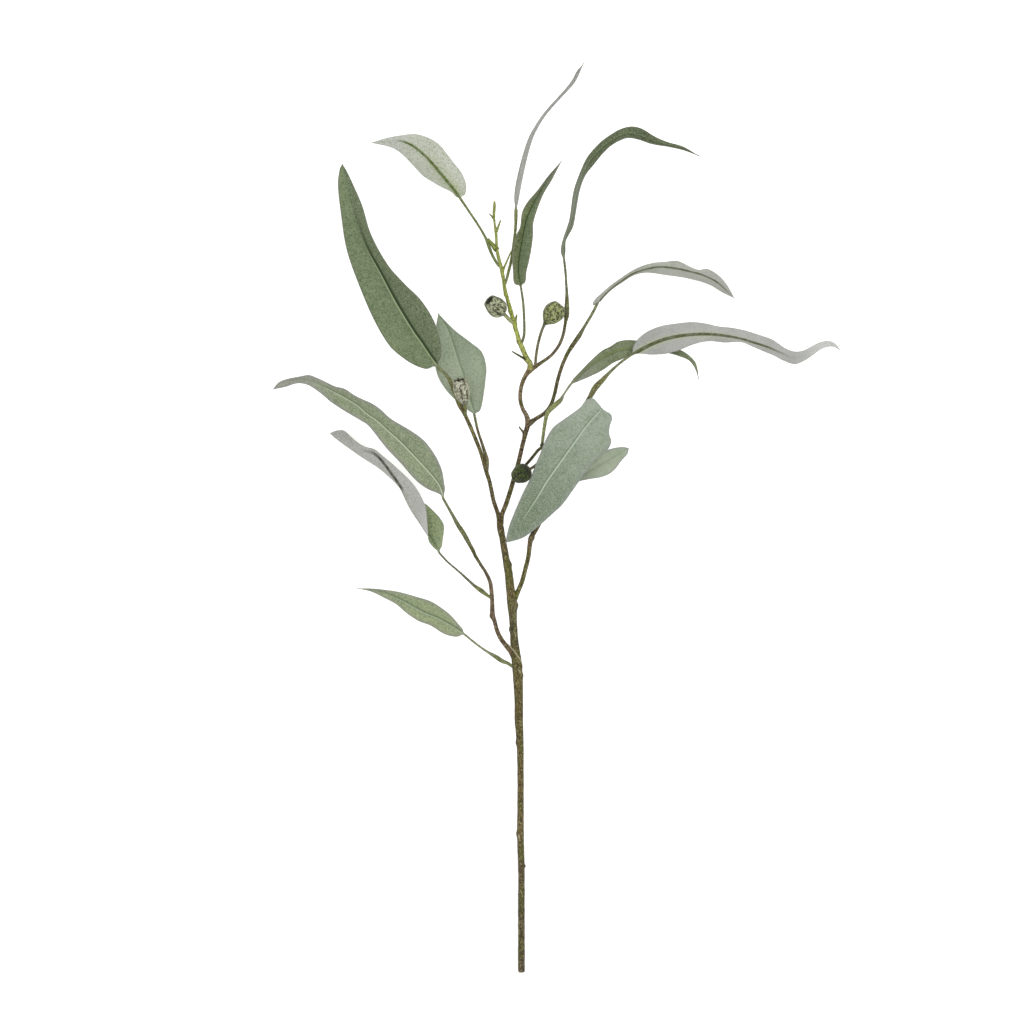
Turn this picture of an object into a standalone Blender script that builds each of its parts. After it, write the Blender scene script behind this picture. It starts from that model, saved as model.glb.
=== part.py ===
# Eucalyptus branch, cut and laid on a table: a woody stem, a lime-green flowering twig,
# fourteen leaves and four gumnuts.
# Metres, +Z up. The table is z = 0. +Y runs along the branch from the cut end to the top leaf,
# and +X points to the side of the longest leaf. The origin is the middle of the branch on the table.
import math

import bmesh
import bpy
import numpy as np

MM = 0.001

# Driving dimensions, in mm
JOIN_GAP = 0.3  # between a stalk and the wood that carries it
BLADE_THICKNESS = 0.7
RIB_RIDGE = 1.1  # how far the midrib stands out of the underside at the blade's base
CURVE_STEPS = 12  # short straight steps between two points of a smooth curve
STALK_ROWS = 8
STALK_FOOT = 1.5  # straight start of a stalk that leaves the side of the wood
BLADE_ROWS = 24
BLADE_START = 0.02  # share of the blade's length at its first row
ROW_CROWDING = 1.15  # above 1 the rows crowd together towards the tip
BLADE_COLUMNS = (-1.0, -0.4, 0.0, 0.4, 1.0)  # share of the half width, left edge to right edge
RIDGE_END = 0.75  # share of the blade where the midrib's ridge has faded out
RIDGE_FADE = 0.8  # under 1 the ridge stays high for longer
BLADE_CAMBER = 0.04  # bulge of each half blade, as a share of its width
FLAT_BELOW = 0.75  # a blade lies flat where its middle surface is lower than this
TIP_HALF_WIDTH = 0.45  # the least half width, reached at the tip
NARROW_WIDTH = 2.0  # a blade narrower than this keeps the way it faced before
SEAT_LENGTH = 4.0  # straight end of a twig, in line with the stalk that it carries
WOOD_SIDES = 10
TWIG_SIDES = 8
SPUR_SIDES = 5
SPUR_KNEE = (0.55, 0.12)  # how far along a spur bends, and how far the bend sags, as shares of its length
SPUR_TAPER = (1.0, 0.75, 0.4)  # radius at the root, the knee and the tip, as shares of the root's
BUMP_SINK = 0.8  # where a bump's middle lies, as a share of the wood's radius
BUMP_DETAIL = {"stem": 2, "flowering_twig": 1}  # subdivisions of each bump
RING_SPACING = 9.0  # along the wood
LEAST_RINGS = 6
GUMNUT_STALK_ROWS = 6
GUMNUT_RIBS = 8
GUMNUT_RIB_DEPTH = 0.05  # share of the gumnut's radius
GUMNUT_SIDE = (0.3, -0.2, 1.0)  # the way that its first rib faces
SHARP_ANGLE = 40  # in degrees; edges that fold more than this stay crisp
SEARCH_STEPS = 400  # places tried along the wood for the one nearest a stalk

# Colours as linear RGB, with the roughness of each surface
FINISHES = {
    "bark": ((0.12, 0.085, 0.05), 0.75),
    "lime_twig": ((0.3, 0.34, 0.06), 0.55),
    "olive_leaf": ((0.14, 0.18, 0.08), 0.6),
    "blue_green_leaf": ((0.27, 0.36, 0.25), 0.6),
    "pale_underside": ((0.45, 0.48, 0.4), 0.65),
    "gumnut": ((0.14, 0.17, 0.08), 0.7),
}

# Wood, in mm: x, y, height of the axis and radius. A twig starts inside the wood that carries it.
WOOD = {
    "main": (
        (-31.1, -400.7, 2.6, 2.6), (-31.1, -369.4, 3.3, 2.6), (-31.1, -341.8, 4, 2.5),
        (-31.1, -309.6, 5, 2.5), (-32, -281.4, 6, 2.9), (-31.8, -234.8, 8, 2.8),
        (-32.2, -198.7, 10, 3.1), (-33.3, -179.3, 11, 3.7), (-33.4, -160, 12.5, 3.8),
        (-34.1, -142.4, 14, 4.3), (-35, -129.2, 15, 4.4), (-36.3, -117.7, 15.8, 4.1),
        (-37.4, -107.2, 16.5, 3.6), (-38, -95.7, 17.2, 3.3), (-38.6, -86.9, 17.8, 3.6),
        (-39.2, -76, 18.5, 4.3), (-40.7, -63.2, 19.3, 3.9), (-42.4, -48.2, 20.2, 3.6),
        (-45.1, -33.3, 21, 3.1), (-47.5, -19.2, 22, 2.8), (-49.7, -7.7, 22.8, 3),
        (-50.6, -1.6, 23.3, 2.4),
    ),
    "left_twig": (
        (-49.6, -6, 22.9, 2.3), (-51.7, 3.7, 23.5, 2.1), (-55.4, 14.7, 24, 2), (-59, 31.5, 24.6, 2),
        (-62.7, 42.4, 25, 2), (-67.8, 56.8, 25.6, 1.9), (-73.7, 72.1, 26.3, 1.9),
        (-79.5, 83.8, 27, 1.9), (-83.9, 93, 27.6, 1.9),
    ),
    "right_twig": (
        (-49.8, -6, 22.9, 2.3), (-48.2, 3.3, 23.4, 2), (-45.3, 10.7, 23.6, 2), (-41.7, 21.3, 24, 2),
        (-38.2, 33.1, 24.3, 2), (-33.5, 50.1, 25, 1.9), (-31, 61, 25.6, 1.9), (-27.6, 74.4, 26.4, 2),
        (-25.5, 83.2, 27, 2.4), (-26.6, 89.9, 27.4, 2), (-30.1, 96.5, 27.8, 1.8),
        (-32.1, 104.5, 28.2, 1.8), (-31.3, 115.4, 28.6, 1.8), (-27.7, 124.9, 29, 1.9),
        (-22.9, 130.6, 29.2, 2.4), (-17.9, 133.9, 29, 2.2), (-12.1, 137.9, 28.6, 1.8),
        (-5.5, 142.7, 28, 1.6), (1.1, 150.7, 27.2, 1.6), (5.3, 160.3, 26.7, 1.6),
        (7.7, 172.7, 26.3, 1.8),
    ),
    "right_spray": (
        (-25.5, 82.4, 26.9, 2.2), (-18.2, 87.6, 26.6, 1.8), (-10.9, 92.4, 26.4, 1.7),
        (-5.5, 99.2, 26, 1.6), (-2.2, 108.4, 25.7, 1.6), (0.8, 121.6, 25.3, 1.6), (4.6, 134, 25, 1.6),
        (9.3, 144.7, 24.5, 1.7),
    ),
    "right_branch": (
        (-38.1, -72, 18.6, 2.5), (-34.1, -64.1, 19.2, 2.1), (-30.7, -56.1, 19.8, 2),
        (-27.3, -43.4, 20.8, 2), (-24.9, -33.3, 21.5, 2), (-23.9, -24.5, 22, 2.1),
        (-22.7, -17.4, 22.4, 2.3), (-16.7, -6.9, 23.1, 2), (-10.4, 7.2, 24.2, 1.9),
        (-2.5, 30.1, 26, 1.9), (6.3, 53, 27.6, 1.9), (14.3, 74.1, 28.8, 1.8), (22.6, 93.9, 29.8, 1.8),
    ),
    "left_branch": (
        (-34.6, -128.3, 15, 2.6), (-40.3, -117.6, 16, 2.4), (-44.8, -112, 16.4, 2.2),
        (-49.3, -105.8, 16.7, 2.1), (-52.6, -98.6, 17, 2.1), (-54.9, -90.1, 17.3, 2.1),
        (-56.6, -84.5, 17.5, 2.4), (-56.8, -76, 17.6, 2.1), (-57.4, -64.9, 17.8, 2.1),
        (-58.6, -56.6, 17.9, 2), (-61.9, -48.7, 18, 1.9), (-66.7, -41.2, 18, 1.9),
        (-71.5, -33.3, 18, 1.9),
    ),
    "centre_twig": (
        (-36.1, 40.5, 24.4, 1.4), (-32.4, 42.4, 24.8, 1.4), (-26.8, 47.5, 25.6, 1.3),
        (-21.4, 53.7, 27, 1.3), (-16.7, 59.6, 28.6, 1.3),
    ),
}
CARRIED_AT_THE_END = {
    "left_twig": "leaf_upper_left",
    "right_twig": "leaf_arching",
    "right_spray": "leaf_right_upper",
    "right_branch": "leaf_right_large",
    "left_branch": "leaf_left_long",
    "centre_twig": "leaf_right_back",
}
FLOWERING_TWIG = (
    (-23.6, 135.8, 29.7, 2.1), (-26.2, 140.5, 29.9, 2.1), (-29.9, 148.3, 30.1, 2.1),
    (-32.8, 155.5, 30.3, 1.9), (-36.4, 167.2, 30.6, 1.9), (-38.9, 176.6, 30.8, 1.8),
    (-42.8, 190.3, 31, 1.7), (-45.7, 201.3, 31.2, 1.6), (-47.2, 211.5, 31.2, 1.5),
    (-49, 221, 31, 1.5), (-51.1, 228.3, 30.8, 1.4), (-52.8, 237.8, 30.4, 1.3),
    (-53.3, 248, 30, 1.2), (-54.5, 258.2, 29.6, 1), (-55.2, 266.9, 29.2, 0.9),
    (-54.8, 278.7, 28.8, 0.6),
)

CARRIED_AT_THE_SIDE = {
    "flowering_twig": WOOD["right_twig"],
    "leaf_centre_left": WOOD["left_twig"],
    "leaf_top_centre": FLOWERING_TWIG,
    "leaf_top_left": FLOWERING_TWIG,
    "leaf_top": FLOWERING_TWIG,
    "leaf_front": WOOD["right_branch"],
    "leaf_front_back": WOOD["right_branch"],
    "leaf_left_twisted": WOOD["left_branch"],
    "leaf_left_low": WOOD["main"],
    "gumnut_left": WOOD["left_twig"],
    "gumnut_top": FLOWERING_TWIG,
    "gumnut_right": WOOD["right_twig"],
    "gumnut_centre": WOOD["centre_twig"],
}

# Leaves, in mm. The stalk has x, y, height and radius. The rib and both edges have x, y and height,
# all three from the blade's base to its tip; left and right are as seen from above, looking that way.
LEAVES = {
    "leaf_upper_left": dict(
        finish="olive_leaf",
        green_side_up=True,
        stalk=(
            (-88, 104.4, 28.6, 1.9), (-90.9, 113.3, 29.6, 1.8), (-95.6, 123.8, 30.6, 1.7),
            (-104, 132.4, 31, 1.6),
        ),
        rib=(
            (-104, 132.4, 31), (-112, 143.4, 30.5), (-119.3, 154.3, 30), (-126.6, 164.5, 29),
            (-141.2, 188.6, 26), (-155.8, 216.3, 20.5), (-168.2, 239.5, 13), (-177.1, 264.2, 5.5),
            (-183.3, 287.1, 0.35), (-189.4, 312, 0.35),
        ),
        left=(
            (-104, 132.4, 31), (-115.6, 131.3, 33.5), (-126.6, 135.3, 35), (-137.5, 142.6, 35.5),
            (-147, 151.4, 35), (-160.2, 173.3, 32), (-174.1, 205.4, 25), (-185, 236.5, 15.5),
            (-189.5, 271.2, 4), (-191.8, 295, 0.35), (-189.4, 312, 0.35),
        ),
        right=(
            (-104, 132.4, 31), (-101.4, 144.8, 36), (-102.6, 156.8, 39.5), (-108.3, 174, 41),
            (-119.3, 191.5, 39), (-133.9, 206.1, 35.5), (-148.5, 222.8, 29), (-163.5, 250.1, 18),
            (-171.4, 275.6, 6), (-178.5, 292.3, 0.35), (-185.1, 305.5, 0.35), (-189.4, 312, 0.35),
        ),
    ),
    "leaf_centre_left": dict(
        finish="blue_green_leaf",
        green_side_up=True,
        stalk=(
            (-61.9, 53, 23.8, 1.6), (-63, 60.7, 22.4, 1.5), (-65.4, 70.6, 22.2, 1.4),
            (-69.6, 82, 21.6, 1.4), (-72.4, 90.8, 21, 1.3),
        ),
        rib=(
            (-72.4, 90.8, 21), (-76.6, 104, 20), (-82.5, 124.9, 18), (-87.6, 139.5, 16),
            (-91.2, 151.2, 14), (-96.6, 167.4, 12), (-104.4, 180.7, 10),
        ),
        left=(
            (-72.4, 90.8, 21), (-79.9, 96.5, 21), (-88.3, 103.4, 20.5), (-96.6, 111.9, 20),
            (-103.6, 122.7, 19), (-106.9, 133.9, 18), (-108.1, 148, 16), (-106.9, 163.9, 13.5),
            (-104.4, 180.7, 10),
        ),
        right=(
            (-72.4, 90.8, 21), (-67.4, 95, 22), (-64.9, 104.9, 22), (-62.7, 121.6, 21),
            (-62, 133.1, 20), (-66, 146.3, 18), (-75.5, 154.6, 16), (-87.8, 163.9, 13.5),
            (-97.1, 172.7, 12), (-104.4, 180.7, 10),
        ),
    ),
    "leaf_top_centre": dict(
        finish="olive_leaf",
        green_side_up=True,
        stalk=(
            (-28.9, 160.3, 31, 1.2), (-28.6, 170.9, 32, 1.1), (-29.5, 188.5, 33.5, 1.1),
            (-31.5, 202.6, 34.5, 1),
        ),
        rib=(
            (-31.5, 202.6, 34.5), (-33.9, 218.4, 33.5), (-32.9, 230.5, 33), (-31.1, 241.4, 32.5),
            (-27.5, 259.6, 31.5), (-23.1, 271.2, 30.5), (-15.7, 285.3, 28.5), (-6.4, 300.3, 25),
            (4.4, 314.6, 20.5),
        ),
        left=(
            (-31.5, 202.6, 34.5), (-37.5, 206.5, 36), (-38.5, 216.7, 37), (-39.2, 226.8, 37.5),
            (-38.4, 237.8, 37), (-35.9, 248.3, 36.5), (-32.4, 255.4, 35.5), (-30.6, 268.6, 33.5),
            (-26.2, 277.4, 32), (-17.4, 287.9, 30), (-6.9, 302, 25.5), (4.4, 314.6, 20.5),
        ),
        right=(
            (-31.5, 202.6, 34.5), (-27.6, 207.9, 36), (-26.6, 216.7, 37), (-24.5, 225.5, 37.5),
            (-22.4, 236.3, 37.5), (-20.9, 248.3, 36.5), (-20.7, 258.9, 35.5), (-17, 271.7, 33),
            (-11.7, 284.9, 31), (-4.2, 297.6, 26.5), (4.4, 314.6, 20.5),
        ),
    ),
    "leaf_top_left": dict(
        finish="pale_underside",
        green_side_up=False,
        stalk=(
            (-53.1, 226.8, 31, 1.1), (-57.9, 233.4, 30.5, 1.9), (-62.7, 246.6, 30, 2.1),
            (-69.3, 258, 29, 1.8), (-76.8, 269.2, 28.5, 1.6), (-84.7, 280.9, 28, 1.4),
        ),
        rib=(
            (-84.7, 280.9, 28), (-90.7, 289.1, 28.5), (-97.2, 297.1, 28), (-104.5, 305.9, 26.5),
            (-111.8, 314.6, 24), (-119.2, 321.9, 21), (-127.9, 328.5, 17.5), (-138.9, 332.8, 13),
            (-151.2, 333, 7.5), (-163.5, 331.1, 3),
        ),
        left=(
            (-84.7, 280.9, 28), (-88.2, 282.2, 27), (-92.8, 286.9, 25.5), (-100.1, 290.6, 22.5),
            (-108.9, 295.7, 19),
            (-117.7, 301.5, 16.5), (-125.7, 309.9, 14.5), (-136.7, 321.2, 12), (-146.2, 327, 8.5),
            (-163.5, 331.1, 3),
        ),
        right=(
            (-84.7, 280.9, 28), (-81.7, 283, 27.5), (-79.8, 287.6, 26.8), (-79.9, 294.1, 26),
            (-83.9, 304.1, 24), (-89.9, 311.7, 23), (-96.5, 320.5, 21), (-103.8, 329.2, 18),
            (-113.3, 335.1, 15), (-125, 338.4, 12.5), (-140.3, 337, 9), (-152, 334.8, 5.5),
            (-163.5, 331.1, 3),
        ),
    ),
    "leaf_top": dict(
        finish="pale_underside",
        green_side_up=True,
        stalk=(
            (-44.7, 207.9, 30, 1.2), (-42.6, 216.2, 29.3, 1.3), (-40.3, 225.5, 28.6, 1.3),
            (-38, 241.3, 28, 1.2), (-36.3, 255.4, 28, 1.1), (-35.9, 269.5, 28, 1),
        ),
        rib=(
            (-35.9, 269.5, 28), (-35.4, 280, 28), (-34.1, 291.5, 28), (-31.1, 305.5, 28.5),
            (-27.5, 319.6, 28.5), (-22.7, 334.7, 28), (-17.4, 344.9, 27), (-12.1, 353.6, 26),
            (-5.7, 361, 25), (0.2, 367.8, 24), (9, 377.3, 23), (15.6, 384.3, 21.5), (23.8, 400.7, 19),
        ),
        left=(
            (-35.9, 269.5, 28), (-37.4, 280, 31.5), (-36.5, 291.5, 35), (-33.5, 305.5, 37),
            (-29.8, 319.6, 37.5), (-24.6, 334.7, 36.5), (-19, 344.9, 34.5), (-13.3, 353.6, 32),
            (-6.4, 361, 29.5), (-0.2, 368.2, 27.5), (7.5, 378.3, 26), (13.6, 386.1, 24),
            (23.8, 400.7, 19),
        ),
        right=(
            (-35.9, 269.5, 28), (-33.6, 280, 24.5), (-31.5, 291.5, 21), (-28.6, 305.5, 19.5),
            (-25.3, 319.6, 19.5), (-20.8, 334.7, 19.5), (-15.8, 344.9, 19.5), (-10.9, 353.6, 20),
            (-5, 361, 20.5), (0.5, 367.5, 20.5), (10.5, 376.2, 20.5), (17.6, 382.5, 19.5),
            (23.8, 400.7, 19),
        ),
    ),
    "leaf_arching": dict(
        finish="olive_leaf",
        green_side_up=True,
        stalk=(
            (8.7, 182.8, 26, 2.6), (8.8, 193.8, 26, 2.3), (8.7, 204.9, 26, 1.9),
            (7.9, 215.8, 26.5, 1.6), (6.7, 225, 27, 1.4),
        ),
        rib=(
            (6.7, 225, 27), (5.6, 237.8, 28), (8.1, 249.2, 29), (12.5, 260.7, 30), (15.1, 273, 31),
            (17.8, 287.1, 31.5), (22.6, 302, 31.5), (29.2, 314.8, 30.5), (38.9, 325.8, 28.5),
            (48.6, 333.3, 25.5), (60.9, 339, 21), (73.2, 337.7, 15), (86.4, 332.8, 9.5),
            (99.6, 329.6, 4.2), (111.9, 326.5, 0.6), (126, 319.4, 0.35),
        ),
        left=(
            (6.7, 225, 27), (3.7, 232.5, 28.5), (3.9, 239.5, 30), (5.9, 247, 32), (10.7, 261.5, 34),
            (12.5, 273.2, 35), (13.9, 283.5, 36), (16.5, 293.7, 36), (24.6, 313.6, 34),
            (29.9, 321.6, 32), (38.9, 331.1, 29.5), (47.9, 337.8, 26), (56.8, 342.8, 21.5),
            (65.8, 344.9, 18), (74.8, 343.2, 14), (86.4, 336.5, 8.5), (97.2, 332, 4.2),
            (111.9, 327.8, 0.6), (126, 319.4, 0.35),
        ),
        right=(
            (6.7, 225, 27), (7.6, 234.3, 26), (7.9, 243.6, 26), (10.4, 248.8, 26), (14.3, 256.2, 26),
            (16.9, 269.5, 26), (20.1, 287.6, 26), (25, 301, 26.5), (32.6, 310.9, 27),
            (40.7, 320.8, 26.5), (47.7, 327.5, 25), (55.1, 332, 22.5), (62.7, 334.6, 19),
            (71.5, 333.5, 14.5), (83.8, 329.7, 9.5), (99.1, 327.4, 4), (111.9, 324.6, 0.6),
            (126, 319.4, 0.35),
        ),
    ),
    "leaf_right_upper": dict(
        finish="pale_underside",
        green_side_up=False,
        stalk=(
            (15.6, 154.6, 24, 2), (20.4, 161.5, 24, 2.2), (25.7, 170.6, 24.2, 1.9),
            (31.4, 180.1, 24.3, 1.7), (35.8, 188.9, 24, 1.4),
        ),
        rib=(
            (35.8, 188.9, 24), (42, 196.4, 24.5), (49.5, 203.5, 25), (57.8, 209.4, 25),
            (67.1, 215.3, 24.5), (77.6, 218.9, 23.5), (90.5, 221.2, 21.5), (105.7, 219.8, 18.5),
            (117.4, 217.3, 15), (128.1, 214.5, 11.5), (139.8, 209.1, 7.5), (148.5, 202.1, 4),
            (156.5, 194.3, 1.2),
        ),
        left=(
            (35.8, 188.9, 24), (34.1, 190.1, 23.5), (34.6, 193, 23.3), (38.4, 196.9, 23.5),
            (47.3, 204.9, 24), (56.3, 211.4, 24), (65.3, 217.3, 23), (74.3, 221.8, 21.5),
            (85.1, 224.8, 20), (96.7, 225.9, 18), (106.2, 226.6, 16.5), (116.5, 222.1, 14),
            (124.7, 218.9, 12), (132.7, 219.8, 8.5), (139.8, 216.3, 6.5), (147, 210, 4),
            (153.3, 201, 1.8), (156.5, 194.3, 1.2),
        ),
        right=(
            (35.8, 188.9, 24), (38.5, 190.7, 24), (41.5, 194.6, 24), (48.1, 201, 24), (56.9, 207, 24),
            (65.3, 212.3, 23), (72.5, 215.1, 22), (81.1, 216, 20), (96.7, 214, 16.5),
            (110.2, 212.3, 13.5), (119.2, 210.4, 11), (128.1, 208.2, 8.5), (137.2, 204.6, 6),
            (146.2, 199.2, 3), (156.5, 194.3, 1.2),
        ),
    ),
    "leaf_right_large": dict(
        finish="pale_underside",
        green_side_up=False,
        stalk=(
            (29, 106.2, 30.3, 1.8), (33.6, 115.3, 30.8, 3), (40.7, 120.9, 31.2, 2.7),
            (47.7, 127.8, 31.8, 2.1), (56.3, 136.3, 32.4, 1.8), (64.4, 142.9, 33, 1.5),
        ),
        rib=(
            (64.4, 142.9, 33), (70.7, 146.3, 33.5), (78.8, 150.7, 34), (87.7, 154.8, 34),
            (97.9, 158.2, 33.5), (111.9, 160.8, 32), (128.1, 161.9, 29.5), (142.7, 161.2, 27),
            (161.2, 158.1, 22), (172.9, 154.8, 19), (185.9, 150.7, 15.5), (199.9, 144.9, 11.5),
            (211.4, 141.5, 8), (220.2, 144.7, 6.5), (228.1, 150, 5), (236.9, 153.9, 3),
            (243.9, 153, 1.8), (250.5, 148, 1.2),
        ),
        left=(
            (64.4, 142.9, 33), (66.2, 149.3, 31), (72.5, 158.8, 29), (81.5, 165.1, 27.5),
            (92.2, 169.1, 26.5), (105.7, 171.3, 26), (119.2, 172.5, 25.5), (130.9, 171.3, 25),
            (141.7, 168.9, 23.5), (155, 167.5, 20.5), (166.6, 165.1, 18), (180, 161, 14.5),
            (189.8, 157.5, 12), (202.5, 149.3, 9.5), (210.6, 146.9, 8.5), (217.8, 148, 7),
            (224.9, 151.6, 5.5), (232.1, 155.2, 4), (240.2, 156.4, 2.5), (245.7, 154, 1.6),
            (250.5, 148, 1.2),
        ),
        right=(
            (64.4, 142.9, 33), (72.5, 144.5, 33), (83.2, 143.8, 31), (96.7, 144.8, 30),
            (108.4, 148, 30), (118.1, 152.1, 30), (128.1, 154.9, 29), (136.6, 155.6, 27.5),
            (147.1, 154.5, 25), (162.1, 154.9, 21.5), (171.1, 151.6, 18), (181.9, 147.1, 14),
            (191.8, 143.1, 10.5), (199.8, 139, 7.5), (209.7, 135.9, 5), (216.9, 138.2, 5),
            (224.9, 143.1, 5), (232.1, 148.5, 4), (237.8, 150.9, 3), (243.9, 151.4, 1.6),
            (250.5, 148, 1.2),
        ),
    ),
    "leaf_right_back": dict(
        finish="olive_leaf",
        green_side_up=True,
        stalk=(
            (-12.7, 66.9, 30, 1.3), (-10.8, 81.1, 32, 1.5), (-8.1, 93.8, 33.5, 2),
            (-0.9, 101.6, 34, 3.1), (5.9, 111.1, 34, 2.3), (11.6, 117, 33.5, 1.5),
        ),
        rib=(
            (11.6, 117, 33.5), (18.7, 124.7, 32), (25.8, 131.8, 30), (36.6, 139.9, 27.5),
            (47.7, 145.7, 25), (58.7, 149.1, 23), (71.5, 149.2, 21), (86.4, 149.2, 18.5),
            (100.5, 147.3, 16.5), (113.3, 142.7, 14), (120.8, 136.4, 12.2), (123.4, 130.7, 10.9),
            (125, 122.8, 9),
        ),
        left=(
            (11.6, 117, 33.5), (12.9, 120.7, 33.5), (20.4, 128.8, 33), (29.4, 138.2, 31),
            (40.1, 147.6, 28.5), (47.3, 151.2, 27), (53.4, 155.2, 25.5), (60.9, 156.8, 24),
            (71.5, 156.3, 22), (86.4, 154.6, 20), (98.7, 152, 18), (109.3, 148, 16),
            (115.9, 144, 14.5), (121.9, 137.9, 12.5), (124.2, 131, 10.8), (125, 122.8, 9),
        ),
        right=(
            (11.6, 117, 33.5), (19.5, 120.5, 33), (29.4, 124.7, 31), (40.1, 130.1, 28.5),
            (49.9, 136.8, 26), (60, 140.8, 24), (73.2, 142.3, 22), (86.4, 144.3, 19.5),
            (98.6, 145, 17.5), (107.5, 142.7, 15.5), (115.4, 139.6, 13.5), (119.7, 135.4, 12),
            (122.4, 130.5, 11), (125, 122.8, 9),
        ),
    ),
    "leaf_front": dict(
        finish="blue_green_leaf",
        green_side_up=True,
        stalk=(
            (23.9, 96.1, 31.8, 1.7), (29.2, 97, 34.2, 1.6), (35.4, 97.7, 36.2, 1.5),
            (39.9, 99, 38, 1.5), (42, 99.2, 40.2, 1.4), (42.2, 98.3, 41.7, 1.3), (40.1, 96.3, 42.2, 1.2),
        ),
        rib=(
            (40.1, 96.3, 42.2), (32.1, 87.9, 43), (23.8, 77.9, 43), (15.3, 66.1, 42), (6.9, 54.3, 41),
            (-1.5, 42.5, 40), (-9.2, 31.5, 39), (-16.7, 18.9, 37.5), (-25.1, 6.2, 35.5),
            (-34.1, -7.7, 33.5), (-45.3, -21.6, 31),
        ),
        left=(
            (40.1, 96.3, 42.2), (42.9, 94.8, 42), (47.7, 90.8, 43), (48.4, 86.4, 44), (46.5, 81, 44.5),
            (45.9, 74.1, 45), (47.7, 67.1, 45), (44.2, 59.8, 44.5), (33.8, 51.6, 43.5),
            (25.4, 40.8, 42.5), (17, 29, 41.5), (4.3, 11.4, 39.5), (-4, 3.8, 38.5),
            (-13.3, -4.7, 36.5), (-22.6, -12.4, 34.5), (-31.5, -17.9, 33), (-45.3, -21.6, 31),
        ),
        right=(
            (40.1, 96.3, 42.2), (37.7, 101.2, 41.4), (31.6, 105.6, 41.5), (25.3, 103.6, 42.5),
            (21.2, 98, 44), (13.6, 92.1, 45), (5.2, 86.2, 45.5), (-3.3, 79.6, 45.5),
            (-9.9, 68.8, 44.5), (-15, 56, 43.5), (-19.2, 45.8, 42), (-23.4, 34.9, 41),
            (-30.6, 20.4, 38.5), (-37.8, 3.8, 35.5), (-42, -7.2, 33.5), (-45.3, -21.6, 31),
        ),
    ),
    "leaf_front_back": dict(
        finish="blue_green_leaf",
        green_side_up=True,
        stalk=(
            (0.4, 29.4, 26.6, 1.4), (4.1, 29.2, 27.3, 1.3), (8.1, 30.1, 28, 1.2),
        ),
        rib=(
            (8.1, 30.1, 28), (17.8, 35.8, 29), (30.1, 42.9, 29.6), (43.3, 50.8, 29.8),
            (53.9, 57.2, 29), (63.5, 61.8, 28),
        ),
        left=(
            (8.1, 30.1, 28), (11.2, 34.9, 29.5), (22.2, 45.9, 31), (35.4, 56.5, 31.5),
            (49.5, 61.6, 31), (58.3, 62.7, 29.6), (63.5, 61.8, 28),
        ),
        right=(
            (8.1, 30.1, 28), (13.8, 30.8, 29.5), (21.3, 32.9, 30.5), (29.7, 34.5, 31),
            (38.9, 36.1, 31), (46.4, 39.1, 31), (51.7, 43.7, 30.6), (57, 50.7, 29.8), (62, 56.3, 28.8),
            (63.5, 61.8, 28),
        ),
    ),
    "leaf_left_long": dict(
        finish="blue_green_leaf",
        green_side_up=True,
        stalk=(
            (-76, -24.3, 18, 2.2), (-82.7, -12.5, 18.2, 3.1), (-87.2, -6.1, 18.6, 2.5),
            (-91.7, 2.8, 19.2, 1.9), (-99.8, 17.1, 20, 1.5),
        ),
        rib=(
            (-99.8, 17.1, 20), (-101.6, 24.8, 21), (-105.2, 31.7, 22), (-114.2, 42.4, 24),
            (-127.7, 56.8, 26), (-140, 69.2, 27), (-149.1, 77.3, 27), (-158, 85.4, 26.5),
            (-167, 91.7, 25), (-176, 99.4, 23), (-187.3, 106.2, 20.5), (-204, 114.8, 15.5),
            (-220.7, 121.6, 10), (-235.7, 120.5, 5.5), (-250.5, 113.6, 1.5),
        ),
        left=(
            (-99.8, 17.1, 20), (-106.1, 22.5, 21.5), (-111.5, 24.6, 22.5), (-118.7, 29, 24.5),
            (-125.8, 35.2, 26), (-136.7, 47.8, 28), (-150.1, 62.1, 29.5), (-163.1, 78.5, 29),
            (-167, 82.5, 28.5), (-176, 88, 26.5), (-186.7, 94.3, 24), (-198.4, 102, 19.5),
            (-207.4, 109.6, 15.5), (-216.4, 115.9, 12), (-222.6, 118.4, 10), (-229.9, 118.7, 7.5),
            (-238.8, 115.9, 4.5), (-250.5, 113.6, 1.5),
        ),
        right=(
            (-99.8, 17.1, 20), (-98.2, 23.6, 21.5), (-99.3, 32.6, 24), (-100.8, 41.5, 26),
            (-105.2, 52.3, 28), (-111.5, 62.1, 29.5), (-117.7, 69.3, 30), (-127.7, 76.6, 31),
            (-135.5, 81.3, 31), (-145.9, 87.6, 31), (-155.3, 96.1, 30), (-162.5, 101, 29),
            (-170.5, 104.6, 27.5), (-177.8, 108.2, 25.5), (-186.7, 114, 23), (-195.7, 116.3, 20),
            (-202.9, 119.9, 18), (-211.9, 124, 15), (-218.2, 126.2, 13), (-227.1, 124.9, 9.5),
            (-237.1, 123, 6), (-245.1, 119.9, 3), (-250.5, 113.6, 1.5),
        ),
    ),
    "leaf_left_twisted": dict(
        finish="blue_green_leaf",
        green_side_up=True,
        stalk=(
            (-61, -67.9, 17.6, 1.8), (-67.1, -63.4, 17, 3.1), (-73.6, -59, 16.4, 2.6),
            (-84.6, -48.3, 15.6, 1.9), (-92.7, -41.4, 15.2, 1.7), (-97.1, -37.5, 15, 1.5),
            (-103.1, -30.8, 15, 1.3),
        ),
        rib=(
            (-103.1, -30.8, 15), (-108.5, -21.8, 15), (-113, -15.2, 14.5), (-120.4, -4.4, 14),
            (-127.4, 6.5, 15), (-133.6, 18.2, 16.5), (-138.2, 27.9, 18), (-146.3, 39.5, 19),
            (-153.6, 49.5, 18), (-161.1, 56.9, 16), (-172.3, 60.5, 12.5), (-184.6, 68.8, 7),
            (-192.5, 73.7, 4), (-200.2, 75, 1.5),
        ),
        left=(
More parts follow.
